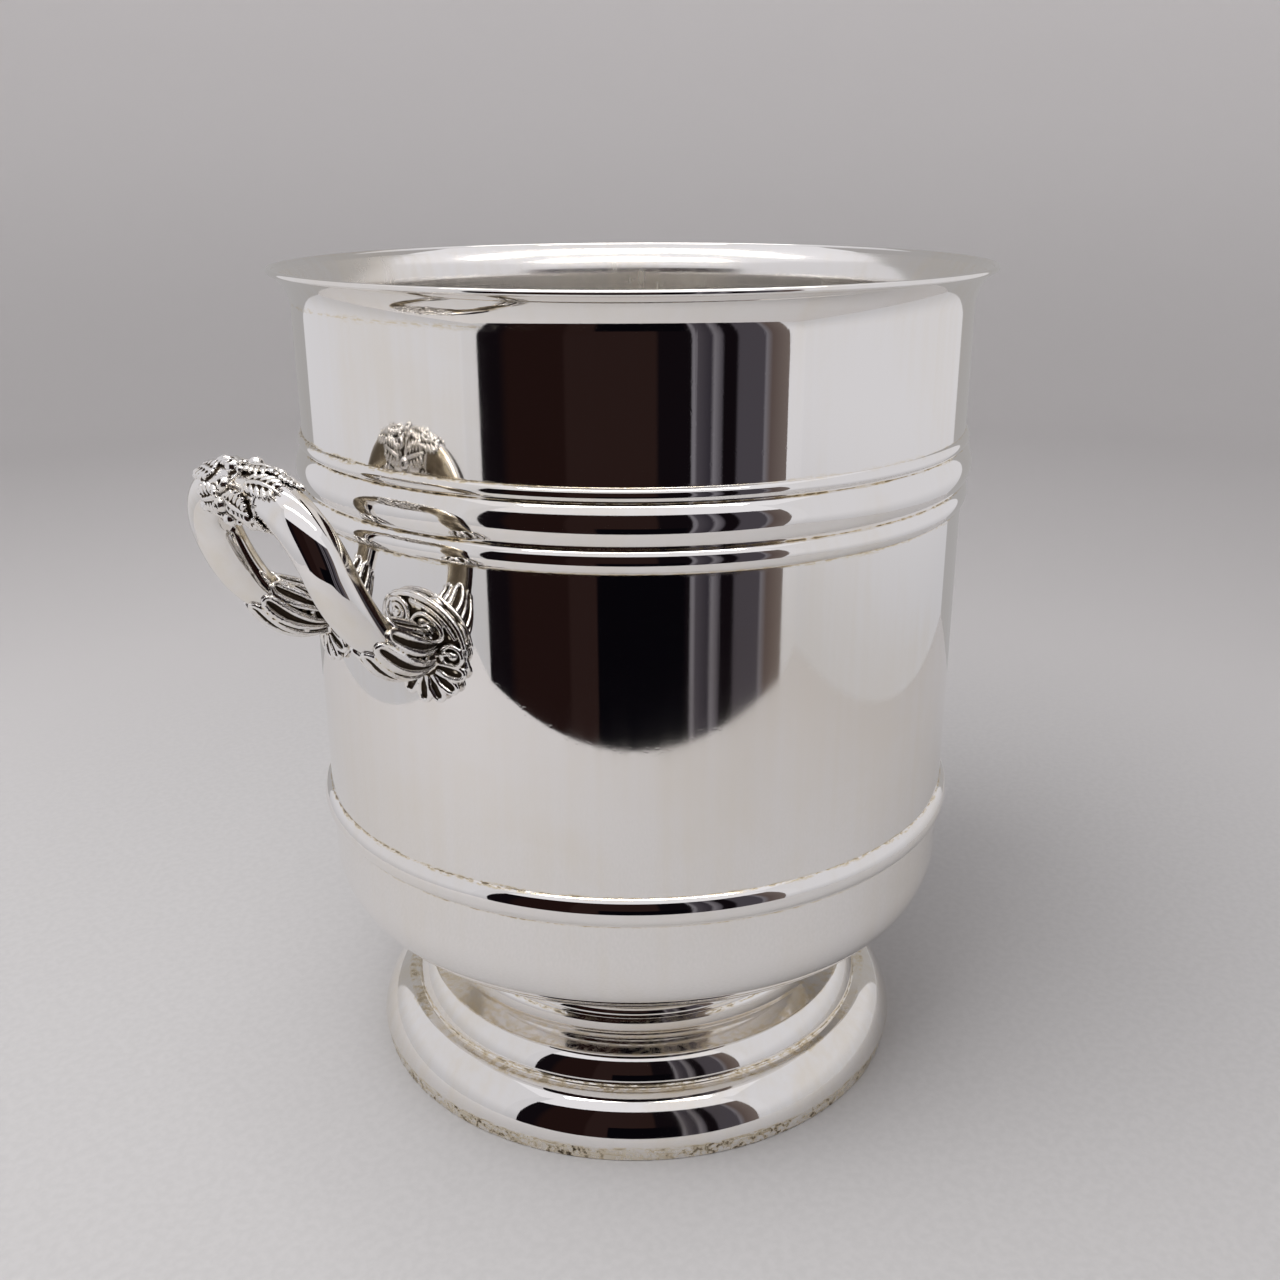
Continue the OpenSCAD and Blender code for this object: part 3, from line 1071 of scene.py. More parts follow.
@dataclass
class ReededLeaf:
    """A long leaf with a raised rim that runs round its tip, and a groove down its middle."""

    length: float
    half_width: float
    reed_r: float
    rise: float
    notches: int = 0

    def rim(self) -> list[tuple[float, float, float, float]]:
        """Returns the rim's points, out along one edge and back along the other."""
        shares = ((0.0, 0.30, 0.6), (0.25, 0.62, 0.85), (0.5, 0.9, 1.0), (0.75, 1.0, 1.05),
                  (0.92, 0.85, 1.0), (1.0, 0.35, 0.95))
        out = [(self.length * a, self.half_width * b,
                self.rise * math.sin(math.pi * (0.15 + 0.7 * a)), self.reed_r * c)
               for a, b, c in shares]
        back = [(x, -y, z, r) for x, y, z, r in reversed(out)]
        return out + back

    def build(self) -> Shape:
        """Lays the rim over a low body."""
        rim = Bench.reeds([self.rim()])
        body = Bench.ball((self.length * 0.52, 0, 0),
                          (self.length * 0.5, self.half_width * 1.05, self.rise * 0.75))
        parts = [rim, body]
        for k in range(self.notches):
            x = self.length * (0.3 + 0.5 * k / max(1, self.notches - 1))
            for hand in (-1, 1):
                parts.append(Bench.ball((x, hand * self.half_width * 1.22, self.rise * 0.35),
                                        (self.reed_r * 1.5, self.reed_r * 0.8, self.reed_r * 0.8),
                                        hand * 0.6, rings=6))
        return Bench.join("reeded_leaf", parts)


@dataclass
class Sheath:
    """A calyx of reeded leaves that holds the end of the bow."""

    rail: HandleRail
    leaves: int = 8
    first: float = 0.8 * MM
    tip_over: float = 1.2 * MM
    pinch_r: float = 4.6 * MM
    swell_r: float = 5.9 * MM
    end_r: float = 4.7 * MM
    core_short: float = 0.6 * MM
    core_steps: int = 13
    core_sides: int = 32
    stagger: float = 0.5 * MM
    lift: float = 0.3 * MM
    grain: float = 0.24 * MM

    def core_r(self, along: np.ndarray) -> np.ndarray:
        """Returns the radius under the leaves at lengths along the bar."""
        span = self.rail.sheath_end - self.first
        t = np.clip((along - self.first) / span, 0, 1)
        plain = self.pinch_r + (self.end_r - self.pinch_r) * t
        return plain + (self.swell_r - (self.pinch_r + self.end_r) / 2) * np.sin(np.pi * t)

    def build(self) -> Shape:
        """Lays the leaves round a swelling core, fuses them and bends them along the rail."""
        span = self.rail.sheath_end - self.first
        parts = [self.core(span)]
        pattern = ReededLeaf(span + self.tip_over, 1.5 * MM, 0.8 * MM, 1.25 * MM, 5).build()
        for k in range(self.leaves):
            leaf = Bench.copied(pattern, "sheath_leaf")
            shift = Vector((self.first + (self.stagger if k % 2 else 0), 0, 0))
            leaf.data.transform(Matrix.Translation(shift))
            wrapped(leaf, self.core_r, FULL_TURN * (k + 0.5) / self.leaves)
            parts.append(leaf)
        bpy.data.objects.remove(pattern)
        piece = Bench.join("sheath", parts)
        Bench.fuse(piece, self.grain)
        mark_hollows(piece, HOLLOW_ROUNDS, HOLLOW_DEPTH)
        self.rail.bend(piece)
        co = points_of(piece)
        reach = np.hypot(co[:, 0], co[:, 1])
        out = np.maximum(reach, self.rail.wall_r + self.lift) / reach
        set_points(piece, co * np.stack([out, out, np.ones_like(out)], 1))
        return piece

    def core(self, span: float) -> Shape:
        """Returns the swelling core that the leaves lie on."""
        stations = np.linspace(self.first, self.first + span - self.core_short, self.core_steps)
        return Bench.bar("sheath_core", stations, self.core_r(stations), self.core_sides)


@dataclass
class ShellMount:
    """A rocaille shell on the wall: a fan of reeded petals, a rosette, scrolls and an eye.

    It is modelled flat, with X away from the handle's middle, Y up and Z out of the wall.
    """

    rail: HandleRail
    grain: float = 0.25 * MM
    pinch: Point = (1.2, -3.4)
    petal_tips: tuple = ((-9.6, -8.0), (-5.2, -11.9), (0.2, -13.6), (5.4, -12.6), (9.9, -9.5),
                         (12.4, -5.0))

    def petals(self) -> list[Shape]:
        """Fans the petals out from the pinch."""
        made = []
        for x, y in self.petal_tips:
            dx, dy = x - self.pinch[0], y - self.pinch[1]
            reach = math.hypot(dx, dy) * MM
            leaf = ReededLeaf(reach, 1.72 * MM, 0.74 * MM, 1.15 * MM).build()
            turn = Matrix.Rotation(math.atan2(dy, dx), 4, "Z")
            place = Matrix.Translation((self.pinch[0] * MM, self.pinch[1] * MM, 0.75 * MM))
            leaf.data.transform(place @ turn)
            made.append(leaf)
        return made

    @staticmethod
    def swirl(centre: Point, turns: float, start: float, r0: float, r1: float, reed: float,
              height: float, stretch: float = 1.0) -> list[tuple[float, float, float, float]]:
        """Returns a reed that winds from radius r0 to r1 about a centre, in millimetres."""
        count = max(6, int(turns * 12))
        path = []
        for i in range(count + 1):
            t = i / count
            angle = start + FULL_TURN * turns * t
            r = r0 + (r1 - r0) * t
            path.append(((centre[0] + r * math.cos(angle)) * MM,
                         (centre[1] + stretch * r * math.sin(angle)) * MM, height * MM,
                         reed * (0.7 + 0.3 * t) * MM))
        return path

    @staticmethod
    def scroll(points: Sequence[Point], reed: float, height: float
               ) -> list[tuple[float, float, float, float]]:
        """Returns a reed through points, thinner at its ends, in millimetres."""
        last = len(points) - 1
        return [(x * MM, y * MM, height * MM,
                 reed * (0.65 + 0.35 * math.sin(math.pi * i / last)) * MM)
                for i, (x, y) in enumerate(points)]

    def scrolls(self) -> Shape:
        """Lays the rosette, the scrolls and the rim of the eye."""
        reeds = [
            self.swirl((-6.6, 8.6), 1.0, 2.2, 3.9, 3.5, 0.78, 2.1),
            self.swirl((-6.5, 8.5), 1.3, 0.6, 0.9, 2.3, 0.55, 2.3),
            self.scroll([(-11.6, 4.6), (-12.2, 8.0), (-9.8, 12.2), (-4.6, 13.9), (0.6, 13.6),
                         (5.6, 11.8), (9.6, 8.8), (12.2, 5.0), (12.9, 1.6)], 1.0, 1.5),
            self.scroll([(-2.2, 12.1), (1.8, 11.6), (5.6, 9.9), (8.8, 7.2), (10.8, 4.0)], 0.7, 2.1),
            self.scroll([(-2.6, 5.0), (-1.4, 8.2), (1.6, 9.8), (5.2, 8.6), (7.6, 5.9), (7.2, 3.6),
                         (4.4, 2.6), (2.2, 1.4)], 0.8, 2.5),
            self.scroll([(0.2, 5.0), (2.0, 7.0), (4.4, 6.4), (4.8, 4.8)], 0.62, 2.7),
            self.scroll([(-11.8, 3.2), (-10.2, 0.6), (-7.6, -1.6), (-4.6, -2.6)], 0.85, 1.9),
            self.scroll([(-12.4, 0.4), (-11.6, -2.8), (-9.4, -5.0), (-6.4, -5.6)], 0.85, 1.4),
            self.swirl((9.4, -0.3), 1.0, 3.6, 3.3, 2.9, 0.8, 1.9, 0.85),
            self.scroll([(4.2, -0.8), (6.2, -0.2), (8.4, 0.2), (9.8, 0.6)], 0.62, 2.4),
        ]
        return Bench.reeds(reeds)

    def body(self) -> list[Shape]:
        """Adds the plate's dome, its scalloped edge and the boss that the sheath grows from."""
        parts = [Bench.ball((0.2 * MM, -0.2 * MM, 0), (12.6 * MM, 13.2 * MM, 1.9 * MM), rings=16),
                 Bench.ball((0.3 * MM, -0.6 * MM, 1 * MM), (6.3 * MM, 6.3 * MM, 3.6 * MM), rings=14)]
        for k in range(5):
            turn = math.radians(-18 + 44 * k)
            parts.append(Bench.ball((10.2 * math.cos(turn) * MM, 10.4 * math.sin(turn) * MM, 0),
                                    (3.7 * MM, 3.5 * MM, 1.8 * MM), turn))
        parts.append(Bench.ball((-6.5 * MM, 8.5 * MM, 1.9 * MM), (1.5 * MM, 1.1 * MM, 1.1 * MM), 0.6))
        parts.append(Bench.ball((9.9 * MM, -0.3 * MM, 1.9 * MM), (1.4 * MM, 1.1 * MM, 1.0 * MM), 0.2))
        return parts

    def build(self) -> Shape:
        """Fuses the relief, cuts it off at the wall and lays it round the bowl."""
        piece = Bench.join("shell", self.petals() + [self.scrolls()] + self.body())
        Bench.fuse(piece, self.grain)
        Bench.edit(piece)
        bpy.ops.mesh.bisect(plane_co=(0, 0, -0.25 * MM), plane_no=(0, 0, 1), use_fill=True,
                            clear_inner=True)
        Bench.close()
        mark_hollows(piece, HOLLOW_ROUNDS, HOLLOW_DEPTH)
        co = points_of(piece)
        centre = math.asin(self.rail.root_half / self.rail.wall_r)
        turn = centre + co[:, 0] / self.rail.wall_r
        radius = self.rail.wall_r + co[:, 2]
        set_points(piece, np.stack([radius * np.cos(turn), radius * np.sin(turn),
                                    self.rail.root_z + co[:, 1]], 1))
        return piece


@dataclass
class GarlandLeaf:
    """A serrated leaf with a midrib and side veins, flat and pointing along X."""

    length: float = 9.4 * MM
    half_width: float = 3.3 * MM
    lobes: int = 5

    def build(self) -> Shape:
        """Lays lobes in pairs beside a midrib, over a low body."""
        n = self.length
        parts = [Bench.ball((n * 0.5, 0, 0), (n * 0.47, self.half_width * 0.8, 0.5 * MM), rings=8),
                 Bench.reeds([[(0, 0, 0.4 * MM, 0.5 * MM), (n * 0.3, 0, 1.0 * MM, 0.5 * MM),
                               (n * 0.7, 0, 0.85 * MM, 0.42 * MM), (n * 1.02, 0, 0.2 * MM,
                                                                    0.3 * MM)]])]
        for k in range(self.lobes):
            t = (k + 0.55) / self.lobes
            wide = self.half_width * math.sin(math.pi * (0.14 + 0.76 * t)) ** 0.75
            for hand in (-1, 1):
                inner = Vector((n * t * 0.9 - 0.3 * MM, hand * 0.75 * MM, 0.6 * MM))
                outer = Vector((n * t * 0.9 + 0.6 * wide, hand * wide, 0.25 * MM))
                lean = outer - inner
                parts.append(Bench.ball((inner + outer) / 2,
                                        (lean.length / 2 + 0.2 * MM, 0.66 * MM, 0.75 * MM),
                                        math.atan2(lean.y, lean.x), rings=6))
        return Bench.join("garland_leaf", parts)


@dataclass
class Garland:
    """Two clumps of leaves and a ring of berries on the crest of a handle."""

    rail: HandleRail
    rows: tuple = ((1.8, 4, 0.12, 0.95, 1.0), (7.6, 4, 0.62, 0.35, 0.92))
    berries: int = 9
    berry_r: float = 1.9 * MM
    zigzag: float = 1.0 * MM
    grain: float = 0.22 * MM
    sleeve_r: float = 5.85 * MM
    buds: int = 6
    bud_r: float = 0.95 * MM
    bud_reach: float = 7.0 * MM
    band_r: float = 6.3 * MM
    band_width: float = 3.2 * MM
    berry_rise: float = 1.5 * MM
    pit: float = 0.9 * MM

    def bar_r(self, along: np.ndarray) -> np.ndarray:
        """Returns the bar's radius at lengths from the crest."""
        return self.rail.at(self.rail.crest_at + along, self.rail.radius)

    def clump(self) -> Shape:
        """Wraps rows of leaves round the bar on one side of the crest and fuses them."""
        pattern = GarlandLeaf().build()
        parts = []
        for row, (start, count, offset, height, size) in enumerate(self.rows):
            for k in range(count):
                leaf = Bench.copied(pattern, "clump_leaf")
                lean = math.radians(13 if (k + row) % 2 else -11)
                place = Matrix.Translation((start * MM, 0, height * MM))
                leaf.data.transform(place @ Matrix.Rotation(lean, 4, "Z") @ Matrix.Scale(size, 4))
                wrapped(leaf, self.bar_r, FULL_TURN * (k + offset) / count)
                parts.append(leaf)
        bpy.data.objects.remove(pattern)
        parts.append(self.sleeve())
        for k in range(self.buds):
            turn, reach = FULL_TURN * (k + 0.3) / self.buds, self.bud_reach
            parts.append(Bench.ball((2.6 * MM, -reach * math.sin(turn), reach * math.cos(turn)),
                                    (self.bud_r,) * 3, rings=8))
        piece = Bench.join("clump", parts)
        Bench.fuse(piece, self.grain)
        mark_hollows(piece, FINE_HOLLOW_ROUNDS, FINE_HOLLOW_DEPTH)
        return piece

    def sleeve(self) -> Shape:
        """Adds the thin skin under the leaves."""
        Bench.clear()
        bpy.ops.mesh.primitive_cylinder_add(vertices=40, radius=self.sleeve_r, depth=10 * MM,
                                            location=(7 * MM, 0, 0), rotation=(0, math.pi / 2, 0))
        return Bench.started("sleeve")

    def build_leaves(self) -> Shape:
        """Sets one clump on each side of the crest and bends both along the rail."""
        clump = self.clump()
        twin = Bench.copied(clump, "clump_front")
        Bench.edit(twin)
        bpy.ops.transform.resize(value=(-1, 1, 1), center_override=(0, 0, 0))
        bpy.ops.mesh.flip_normals()
        Bench.clear()
        piece = Bench.join("garland_leaves", [clump, twin])
        piece.data.transform(Matrix.Translation((self.rail.crest_at, 0, 0)))
        self.rail.bend(piece)
        return piece

    def berry(self) -> Shape:
        """Presses a small pit into the top of a ball."""
        Bench.clear()
        bpy.ops.mesh.primitive_uv_sphere_add(segments=20, ring_count=14, radius=self.berry_r)
        piece = Bench.started("berry")
        Bench.edit(piece)
        bpy.ops.mesh.select_all(action="DESELECT")
        bpy.ops.object.mode_set(mode="OBJECT")
        for face in piece.data.polygons:
            face.select = face.center.z > 0.90 * self.berry_r
        bpy.ops.object.mode_set(mode="EDIT")
        bpy.ops.mesh.select_mode(type="FACE")
        bpy.ops.mesh.extrude_region_move(TRANSFORM_OT_translate={"value": (0, 0, -self.pit)})
        bpy.ops.transform.resize(value=(0.75, 0.75, 0.6),
                                 center_override=(0, 0, self.berry_r - self.pit))
        bpy.ops.mesh.select_mode(type="VERT")
        Bench.close()
        return piece

    def build_berries(self) -> Shape:
        """Sets the berries in a zigzag round a narrow ring and bends them onto the crest."""
        pattern = self.berry()
        parts = []
        for k in range(self.berries):
            turn = FULL_TURN * k / self.berries
            berry = Bench.copied(pattern, "one_berry")
            shift = self.zigzag * (1 if k % 2 else -1) * (0 if k == 0 else 1)
            out = Matrix.Translation((shift, 0, self.rail.crest_bar_r + self.berry_rise))
            berry.data.transform(Matrix.Rotation(turn, 4, "X") @ out)
            parts.append(berry)
        bpy.data.objects.remove(pattern)
        Bench.clear()
        bpy.ops.mesh.primitive_cylinder_add(vertices=40, radius=self.band_r,
                                            depth=self.band_width,
                                            rotation=(0, math.pi / 2, 0))
        parts.append(Bench.started("berry_band"))
        piece = Bench.join("garland_berries", parts)
        Bench.fuse(piece, self.grain, 1)
        mark_hollows(piece, FINE_HOLLOW_ROUNDS, FINE_HOLLOW_DEPTH)
        piece.data.transform(Matrix.Translation((self.rail.crest_at, 0, 0)))
        self.rail.bend(piece)
        return piece


@dataclass
class Handles:
    """The two cast handles: each a bow, two sheaths, two shells, leaves and berries."""

    rail: HandleRail = field(default_factory=HandleRail)

    def build(self, bow_finish: bpy.types.Material, cast: bpy.types.Material) -> None:
        """Makes each part once, and copies it to its places.

        Args:
            bow_finish: the finish of the plain bars.
            cast: the finish of the ornament.
        """
        bow = Bow(self.rail).build()
        garland = Garland(self.rail)
        whole = {"bow": bow, "garland_leaves": garland.build_leaves(),
                 "garland_berries": garland.build_berries()}
        rooted = {"sheath": Sheath(self.rail).build(), "shell": ShellMount(self.rail).build()}
        for side in Side:
            label = side.name.lower()
            for part, pattern in whole.items():
                piece = Bench.placed(pattern, f"{label}_{part}_cast", side, End.BACK)
                finish, slot = (bow_finish, Slot.BRIGHT) if part == "bow" else (cast, Slot.CAST)
                dress(piece, slot, [f"{label}_{part}"], finish)
            for end in End:
                for part, pattern in rooted.items():
                    node = f"{label}_{end.name.lower()}_{part}"
                    piece = Bench.placed(pattern, f"{node}_cast", side, end)
                    dress(piece, Slot.CAST, [node], cast)
        for pattern in (*whole.values(), *rooted.values()):
            bpy.data.objects.remove(pattern)


# ---- Studio ----


@dataclass
class Studio:
    """A pale floor that sweeps up into a backdrop, soft light, and the tent that the silver mirrors.

    The tent's walls show only in reflections: the camera and the floor don't see them.
    """

    azimuth: float = -44.0
    camera_out: float = 390.64 * MM
    camera_up: float = 263.76 * MM
    pitch: float = 19.342
    yaw: float = 0.223
    roll: float = 0.247
    lens: float = 37.63
    floor_r: float = 1.5
    wall_half: float = 0.40
    back: float = 0.30
    front: float = 0.388
    opening_half: float = 0.330
    opening_top: float = 0.40
    sill_curve: float = 0.48
    tent_top: float = 0.62
    tube_places: Point = (-0.26, 0.02)
    tube_half: Point = (0.25, 0.02)
    cloth: tuple = (0.98, 0.965, 1.0, 1)
    sky: float = 0.69

    def facing(self) -> Matrix:
        """Returns the turn from the studio's own axes to the bucket's."""
        return Matrix.Rotation(math.radians(self.azimuth), 4, "Z")

    def camera(self) -> None:
        """Sets the camera in front of the studio, looking slightly down."""
        data = bpy.data.cameras.new("camera")
        data.lens = self.lens
        data.sensor_width = 36.0
        data.clip_start, data.clip_end = 0.01, 20.0
        camera = bpy.data.objects.new("camera", data)
        bpy.context.scene.collection.objects.link(camera)
        t, p = math.radians(self.pitch), math.radians(self.yaw)
        ahead = Vector((math.sin(p) * math.cos(t), math.cos(p) * math.cos(t), -math.sin(t)))
        right = Vector((math.cos(p), -math.sin(p), 0))
        down = ahead.cross(right)
        c, s = math.cos(math.radians(self.roll)), math.sin(math.radians(self.roll))
        x, y = right * c + down * s, -(down * c - right * s)
        turn = Matrix((x, y, -ahead)).transposed().to_4x4()
        place = Matrix.Translation((0, -self.camera_out, self.camera_up))
        camera.matrix_world = self.facing() @ place @ turn
        bpy.context.scene.camera = camera

    def floor(self) -> None:
        """Turns the floor and its backdrop from one outline, and paints light and shade into their
        colour.
        """
        r = self.floor_r
        sweep = arc((r - 0.4, 0.4), 0.4, -90, 0, 6)
        flat = [(r * k / 24, 0.0) for k in range(18)]
        piece = Bench.turn("floor", flat + sweep + [(r, 2.2)], 96)
        Bench.edit(piece)
        bpy.ops.mesh.normals_make_consistent(inside=True)
        bpy.ops.object.mode_set(mode="OBJECT")
        bpy.ops.object.shade_smooth()
        material = bpy.data.materials.new("pale floor")
        material.use_nodes = True
        w = Wiring(material.node_tree)
        shader = w.tree.nodes["Principled BSDF"]
        place = w.add("TexCoord").outputs["Object"]
        # Painted light and shade: the floor is darker near the bucket and lighter further out, as the
        # studio light falls; the specks are its own grain.
        far = w.ramp(w.off_axis(place), 0.22, 0.48)
        speck = w.ramp(w.noise(place, 380, 4), 0.3, 0.7, 0.0, 1.0)
        near_colour = w.mix(speck, (0.50, 0.488, 0.488, 1), (0.53, 0.517, 0.517, 1))
        colour = w.mix(far, near_colour, (0.57, 0.552, 0.552, 1))
        # Painted light: the backdrop grows much lighter as it rises.
        height = w.add("SeparateXYZ", {0: place}).outputs["Z"]
        colour = w.mix(w.ramp(height, 0.02, 0.5), colour, (0.84, 0.82, 0.82, 1))
        w.tree.links.new(colour, shader.inputs["Base Color"])
        shader.inputs["Roughness"].default_value = 0.75
        piece.data.materials.append(material)

    def card(self, name: str, front: Sequence[Sequence[float]], low: float, high: float,
             colour: Callable[[Wiring], object] | tuple, strength: float) -> None:
        """Sets up a glowing wall that only reflections show.

        Args:
            name: the wall's name.
            front: the points (x, y) that its foot runs through, in the studio's axes.
            low: the height of its foot.
            high: the height of its top.
            colour: its colour, or a function that wires one.
            strength: how strongly it glows.
        """
        card = Bench.sketch(name, [(x, y, low) for x, y in front])
        bpy.ops.mesh.extrude_edges_move(TRANSFORM_OT_translate={"value": (0, 0, high - low)})
        bpy.ops.object.mode_set(mode="OBJECT")
        self.glow(card, colour, strength)

    def glow(self, card: Shape, colour: Callable[[Wiring], object] | tuple,
             strength: float) -> None:
        """Turns a card to the studio and makes it glow in reflections only."""
        card.data.transform(self.facing())
        material = bpy.data.materials.new(card.name)
        material.use_nodes = True
        w = Wiring(material.node_tree)
        w.tree.nodes.clear()
        shown = colour(w) if callable(colour) else colour
        glow = w.add("Emission", {"Color": shown, "Strength": strength})
        w.add("OutputMaterial", {"Surface": glow.outputs[0]})
        card.data.materials.append(material)
        card.visible_camera = False
        card.visible_diffuse = False
        card.visible_shadow = False
        card.visible_transmission = False

    def ceiling(self, name: str, middle: Point, half: Point, height: float, colour: tuple,
                strength: float) -> None:
        """Hangs a level glowing card that only reflections show."""
        Bench.clear()
        bpy.ops.mesh.primitive_plane_add(size=2)
        card = Bench.started(name)
        Bench.edit(card)
        bpy.ops.transform.resize(value=(half[0], half[1], 1), center_override=(0, 0, 0))
        bpy.ops.transform.translate(value=(middle[0], middle[1], height))
        bpy.ops.object.mode_set(mode="OBJECT")
        self.glow(card, colour, strength)

    def across(self, w: Wiring) -> tuple:
        """Returns the place across the studio's front and the height, as sockets."""
        place = w.add("TexCoord").outputs["Object"]
        turned = w.add("Mapping", {"Vector": place, "Rotation": (0, 0, -math.radians(self.azimuth))})
        xyz = w.add("SeparateXYZ", {0: turned.outputs[0]}).outputs
        return xyz["X"], xyz["Z"]

    def room(self, w: Wiring) -> object:
        """Wires the dim room beyond the tent's opening: brown doors, a dark gap and pale strips."""
        x, z = self.across(w)
        ramp = w.add("ValToRGB", {"Fac": w.add("MapRange", {
            "Value": x, "From Min": -self.opening_half, "From Max": self.opening_half}).outputs[0]})
        ramp.color_ramp.interpolation = "LINEAR"
        brown, deep = (0.0137, 0.0062, 0.0056, 1), (0.0052, 0.0035, 0.0048, 1)
        slate, pale = (0.062, 0.055, 0.066, 1), (0.17, 0.16, 0.18, 1)
        door = (0.021, 0.011, 0.01, 1)
        stops = [(0.0, deep), (0.085, deep), (0.12, brown), (0.30, brown), (0.31, door),
                 (0.56, door), (0.57, deep), (0.66, deep), (0.665, pale),
                 (0.672, pale), (0.68, slate), (0.72, (0.03, 0.026, 0.034, 1)), (0.73, pale),
                 (0.755, slate), (0.76, deep), (0.80, deep), (0.81, slate), (0.90, slate),
                 (0.905, pale), (0.93, (0.10, 0.075, 0.07, 1)), (1.0, (0.16, 0.13, 0.12, 1))]
        elements = ramp.color_ramp.elements
        while len(elements) > 1:
            elements.remove(elements[-1])
        elements[0].position, elements[0].color = stops[0]
        for position, colour in stops[1:]:
            elements.new(position).color = colour
        gap = w.sum("MULTIPLY", w.ramp(x, -0.075, -0.07), w.ramp(x, 0.10, 0.095))
        low = w.ramp(z, 0.125, 0.12)
        return w.mix(w.sum("MULTIPLY", gap, low), ramp.outputs["Color"], (0.0022, 0.0018, 0.003, 1))

    def fading(self, w: Wiring) -> object:
        """Wires the glow of the tent's cloth, dimmer towards the floor that it sweeps into: painted
        shade.
        """
        height = self.across(w)[1]
        shaded = tuple(0.8 * c for c in self.cloth[:3]) + (1,)
        return w.mix(w.ramp(height, 0.0, 0.16), shaded, self.cloth)

    def tent(self) -> None:
        """Sets the tent's walls, roof and opening round the bucket."""
        a, b, f, h, o, t = (self.wall_half, self.back, -self.front, self.tent_top,
                            self.opening_half, self.opening_top)
        white, grey = self.cloth, (0.99, 0.96, 0.96, 1)
        across = [o * k / 10 for k in range(-10, 11)]
        sill = [(x, f + self.sill_curve * x ** 2) for x in across]
        self.card("tent_left", [(-a, sill[0][1]), (-a, b)], 0, h, self.fading, 0.70)
        self.card("tent_right", [(a, sill[0][1]), (a, b)], 0, h, self.fading, 0.72)
        self.card("tent_back", [(-a, b), (a, b)], 0, h, grey, 0.40)
        self.card("flap_left", [(-a, sill[0][1]), sill[0]], 0, h, self.fading, 0.67)
        self.card("flap_right", [sill[-1], (a, sill[-1][1])], 0, h, self.fading, 0.74)
        self.card("flap_top", sill, t, h, white, 0.85)
        self.card("opening", sill, 0, t, self.room, 1.0)
        self.ceiling("tent_roof", (0, (f + b) / 2), (a, (b - f) / 2), h, white, 0.85)
        for y in self.tube_places:
            self.ceiling("roof_lamp", (0, y), self.tube_half, h - 0.01, (1, 0.98, 0.95, 1), 9.0)

    def lamp(self, name: str, place: Sequence[float], aim: Sequence[float], size: float,
             power: float) -> None:
        """Hangs a square soft light.

        Args:
            name: the light's name.
            place: where it hangs, in the studio's axes.
            aim: the point that it faces.
            size: the length of its side.
            power: its power in watts.
        """
        data = bpy.data.lights.new(name, "AREA")
        data.shape = "SQUARE"
        data.size = size
        data.energy = power
        lamp = bpy.data.objects.new(name, data)
        bpy.context.scene.collection.objects.link(lamp)
        away = Vector(place) - Vector(aim)
        turn = away.to_track_quat("Z", "Y").to_matrix().to_4x4()
        lamp.matrix_world = self.facing() @ Matrix.Translation(place) @ turn
        lamp.visible_glossy = False
        lamp.visible_camera = False

    def light(self) -> None:
        """Lights the floor and backdrop softly, from the whole sky and from above."""
        world = bpy.data.worlds.new("soft sky")
        bpy.context.scene.world = world
        world.use_nodes = True
        glow = world.node_tree.nodes["Background"]
        glow.inputs["Color"].default_value = (0.98, 0.985, 1.0, 1)
        glow.inputs["Strength"].default_value = self.sky
        self.lamp("roof_light", (-0.30, -0.27, 0.95), (0, 0, 0.0), 0.7, 8.0)

    def build(self) -> None:
        """Makes the whole studio."""
        self.camera()
        self.floor()
        self.tent()
        self.light()
        bpy.context.scene.view_settings.view_transform = "Standard"


def seams_of_wires() -> tuple:
    """Returns the seams beside the girdle and the belly wire, from where the frame has them."""
    low, band, high = (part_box(n) for n in ("lower_bead", "girdle_band", "upper_bead"))
    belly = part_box("belly_wire")
    return (Seam(low[0].z, 0.8 * MM, 0.9, 0.45), Seam(low[1].z, 0.5 * MM, 1.0, 0.3),
            Seam(band[1].z, 0.5 * MM, 1.0, 0.3), Seam(high[1].z, 0.8 * MM, 0.8, 0.7),
            Seam(belly[0].z, 0.45 * MM, 0.7, 0.3), Seam(belly[1].z, 0.6 * MM, 0.8, 0.3))


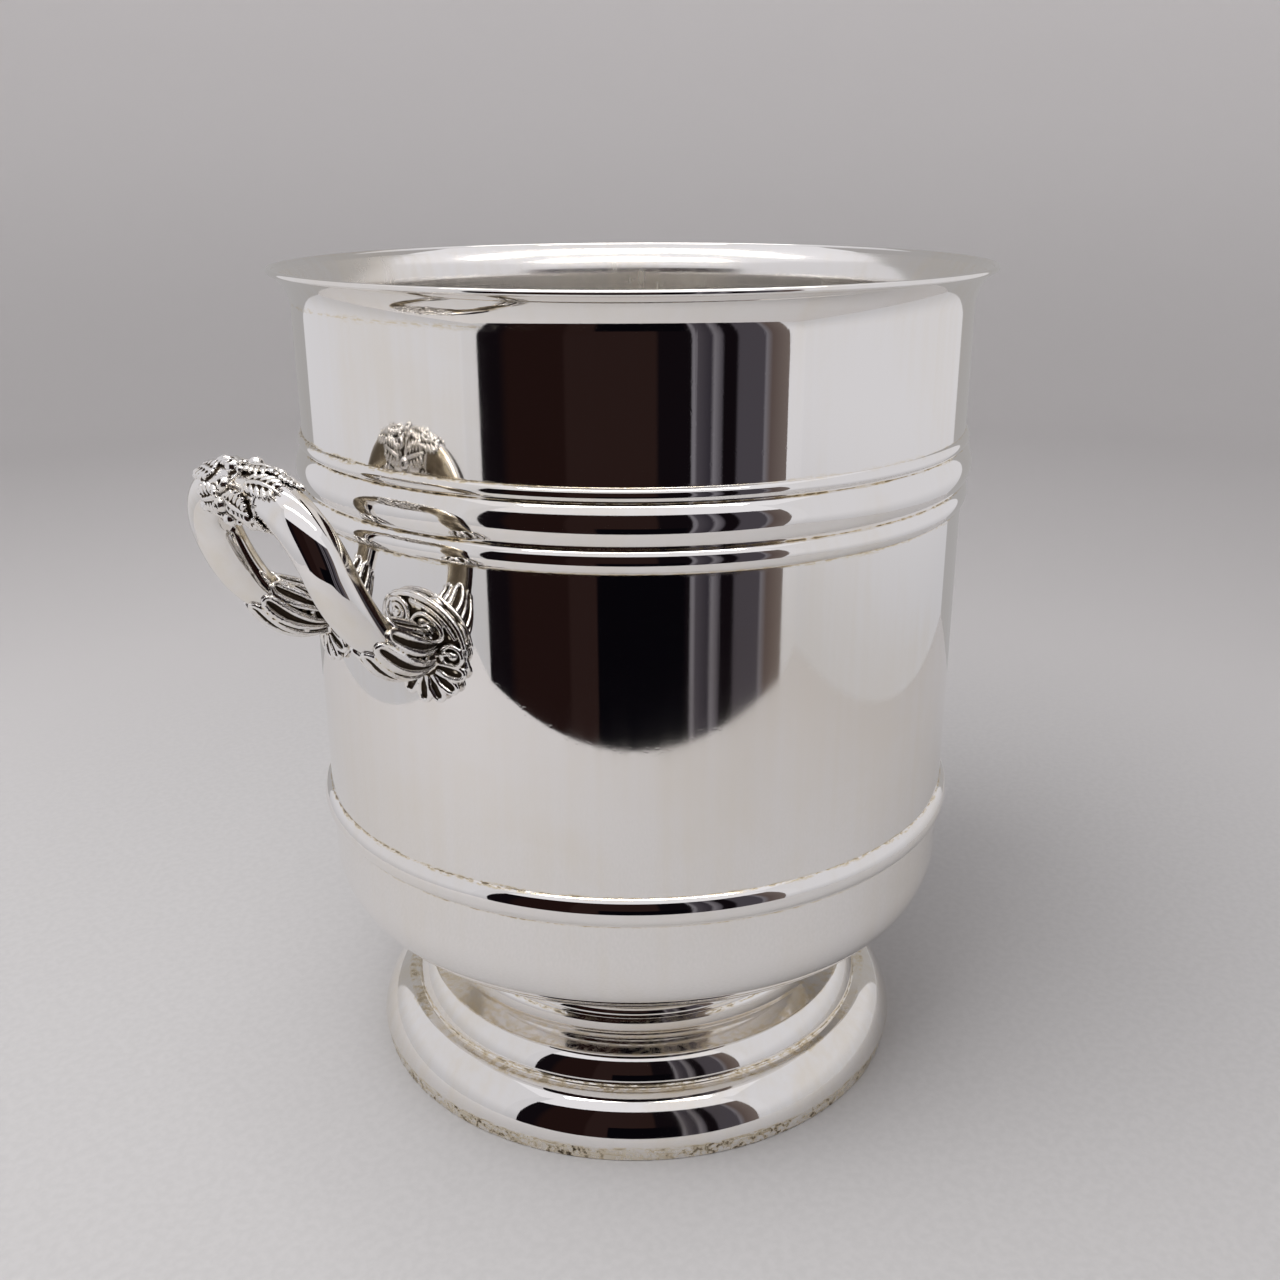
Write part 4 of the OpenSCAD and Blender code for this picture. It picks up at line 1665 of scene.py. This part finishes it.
def main() -> None:
    """Builds the studio and every piece, in order."""
    logging.basicConfig(level=logging.INFO, format="%(name)s: %(message)s")
    Bench.clear()
    effects = Effects()
    wires = seams_of_wires()
    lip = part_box("bowl")[1].z - LIP_SEAM_DROP
    bright = Silver("bright silver", seams=wires + (Seam(lip, 1.2 * MM, 0.35, 0.8),)).made(effects)
    foot_low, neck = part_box("foot")[0].z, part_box("neck_ring")
    foot_silver = Silver("foot silver", haze_tint=0.4, rough_high=0.09, waver=1.6, seams=(
        Seam(foot_low, 0.8 * MM, 0.6), Seam(QUIRK_SEAM_Z, 0.7 * MM, 0.75),
        Seam(LEDGE_SEAM_Z, 0.35 * MM, 0.35), Seam(neck[0].z, 0.6 * MM, 0.7),
        Seam(neck[1].z, 0.5 * MM, 0.6))).made(effects)
    satin = BrushedSilver("satin silver", rough_low=0.16, rough_high=0.30, haze_tint=0.35,
                          clean=(0.90, 0.88, 0.86, 1)).made(effects)
    bow_silver = BowSilver("bow silver", haze_tint=0.3, haze_scale=60, waver=0.5).made(effects)
    cast = CastSilver("cast silver", rough_low=0.10, rough_high=0.22, waver=0.0, haze_tint=0.3,
                      haze_scale=120, dark=(0.045, 0.032, 0.022, 1)).made(effects)
    worn = WornSilver("worn silver", rough_low=0.14, rough_high=0.30, haze_scale=50,
                      haze_tint=0.6).made(effects)

    Studio().build()
    bowl = Bowl()
    bowl.dress(bowl.build(), bright, satin)
    for node, radius in (("upper_bead", bowl.wall_r), ("girdle_band", bowl.wall_r),
                         ("lower_bead", bowl.wall_r), ("belly_wire", bowl.wall_r)):
        dress(Wire(node, f"{node}_wire", radius).build(), Slot.BRIGHT, [node], bright)
    foot = Foot()
    dress(Wire("neck_ring", "neck_ring_wire", foot.neck_r).build(), Slot.BRIGHT, ["neck_ring"],
          foot_silver)
    dress(foot.build(), Slot.BRIGHT, ["foot"], foot_silver)
    dress(BaseBand().build(), Slot.WORN, ["base_band"], worn)
    Handles().build(bow_silver, cast)
    Bench.clear()


if __name__ == "__main__":
    main()
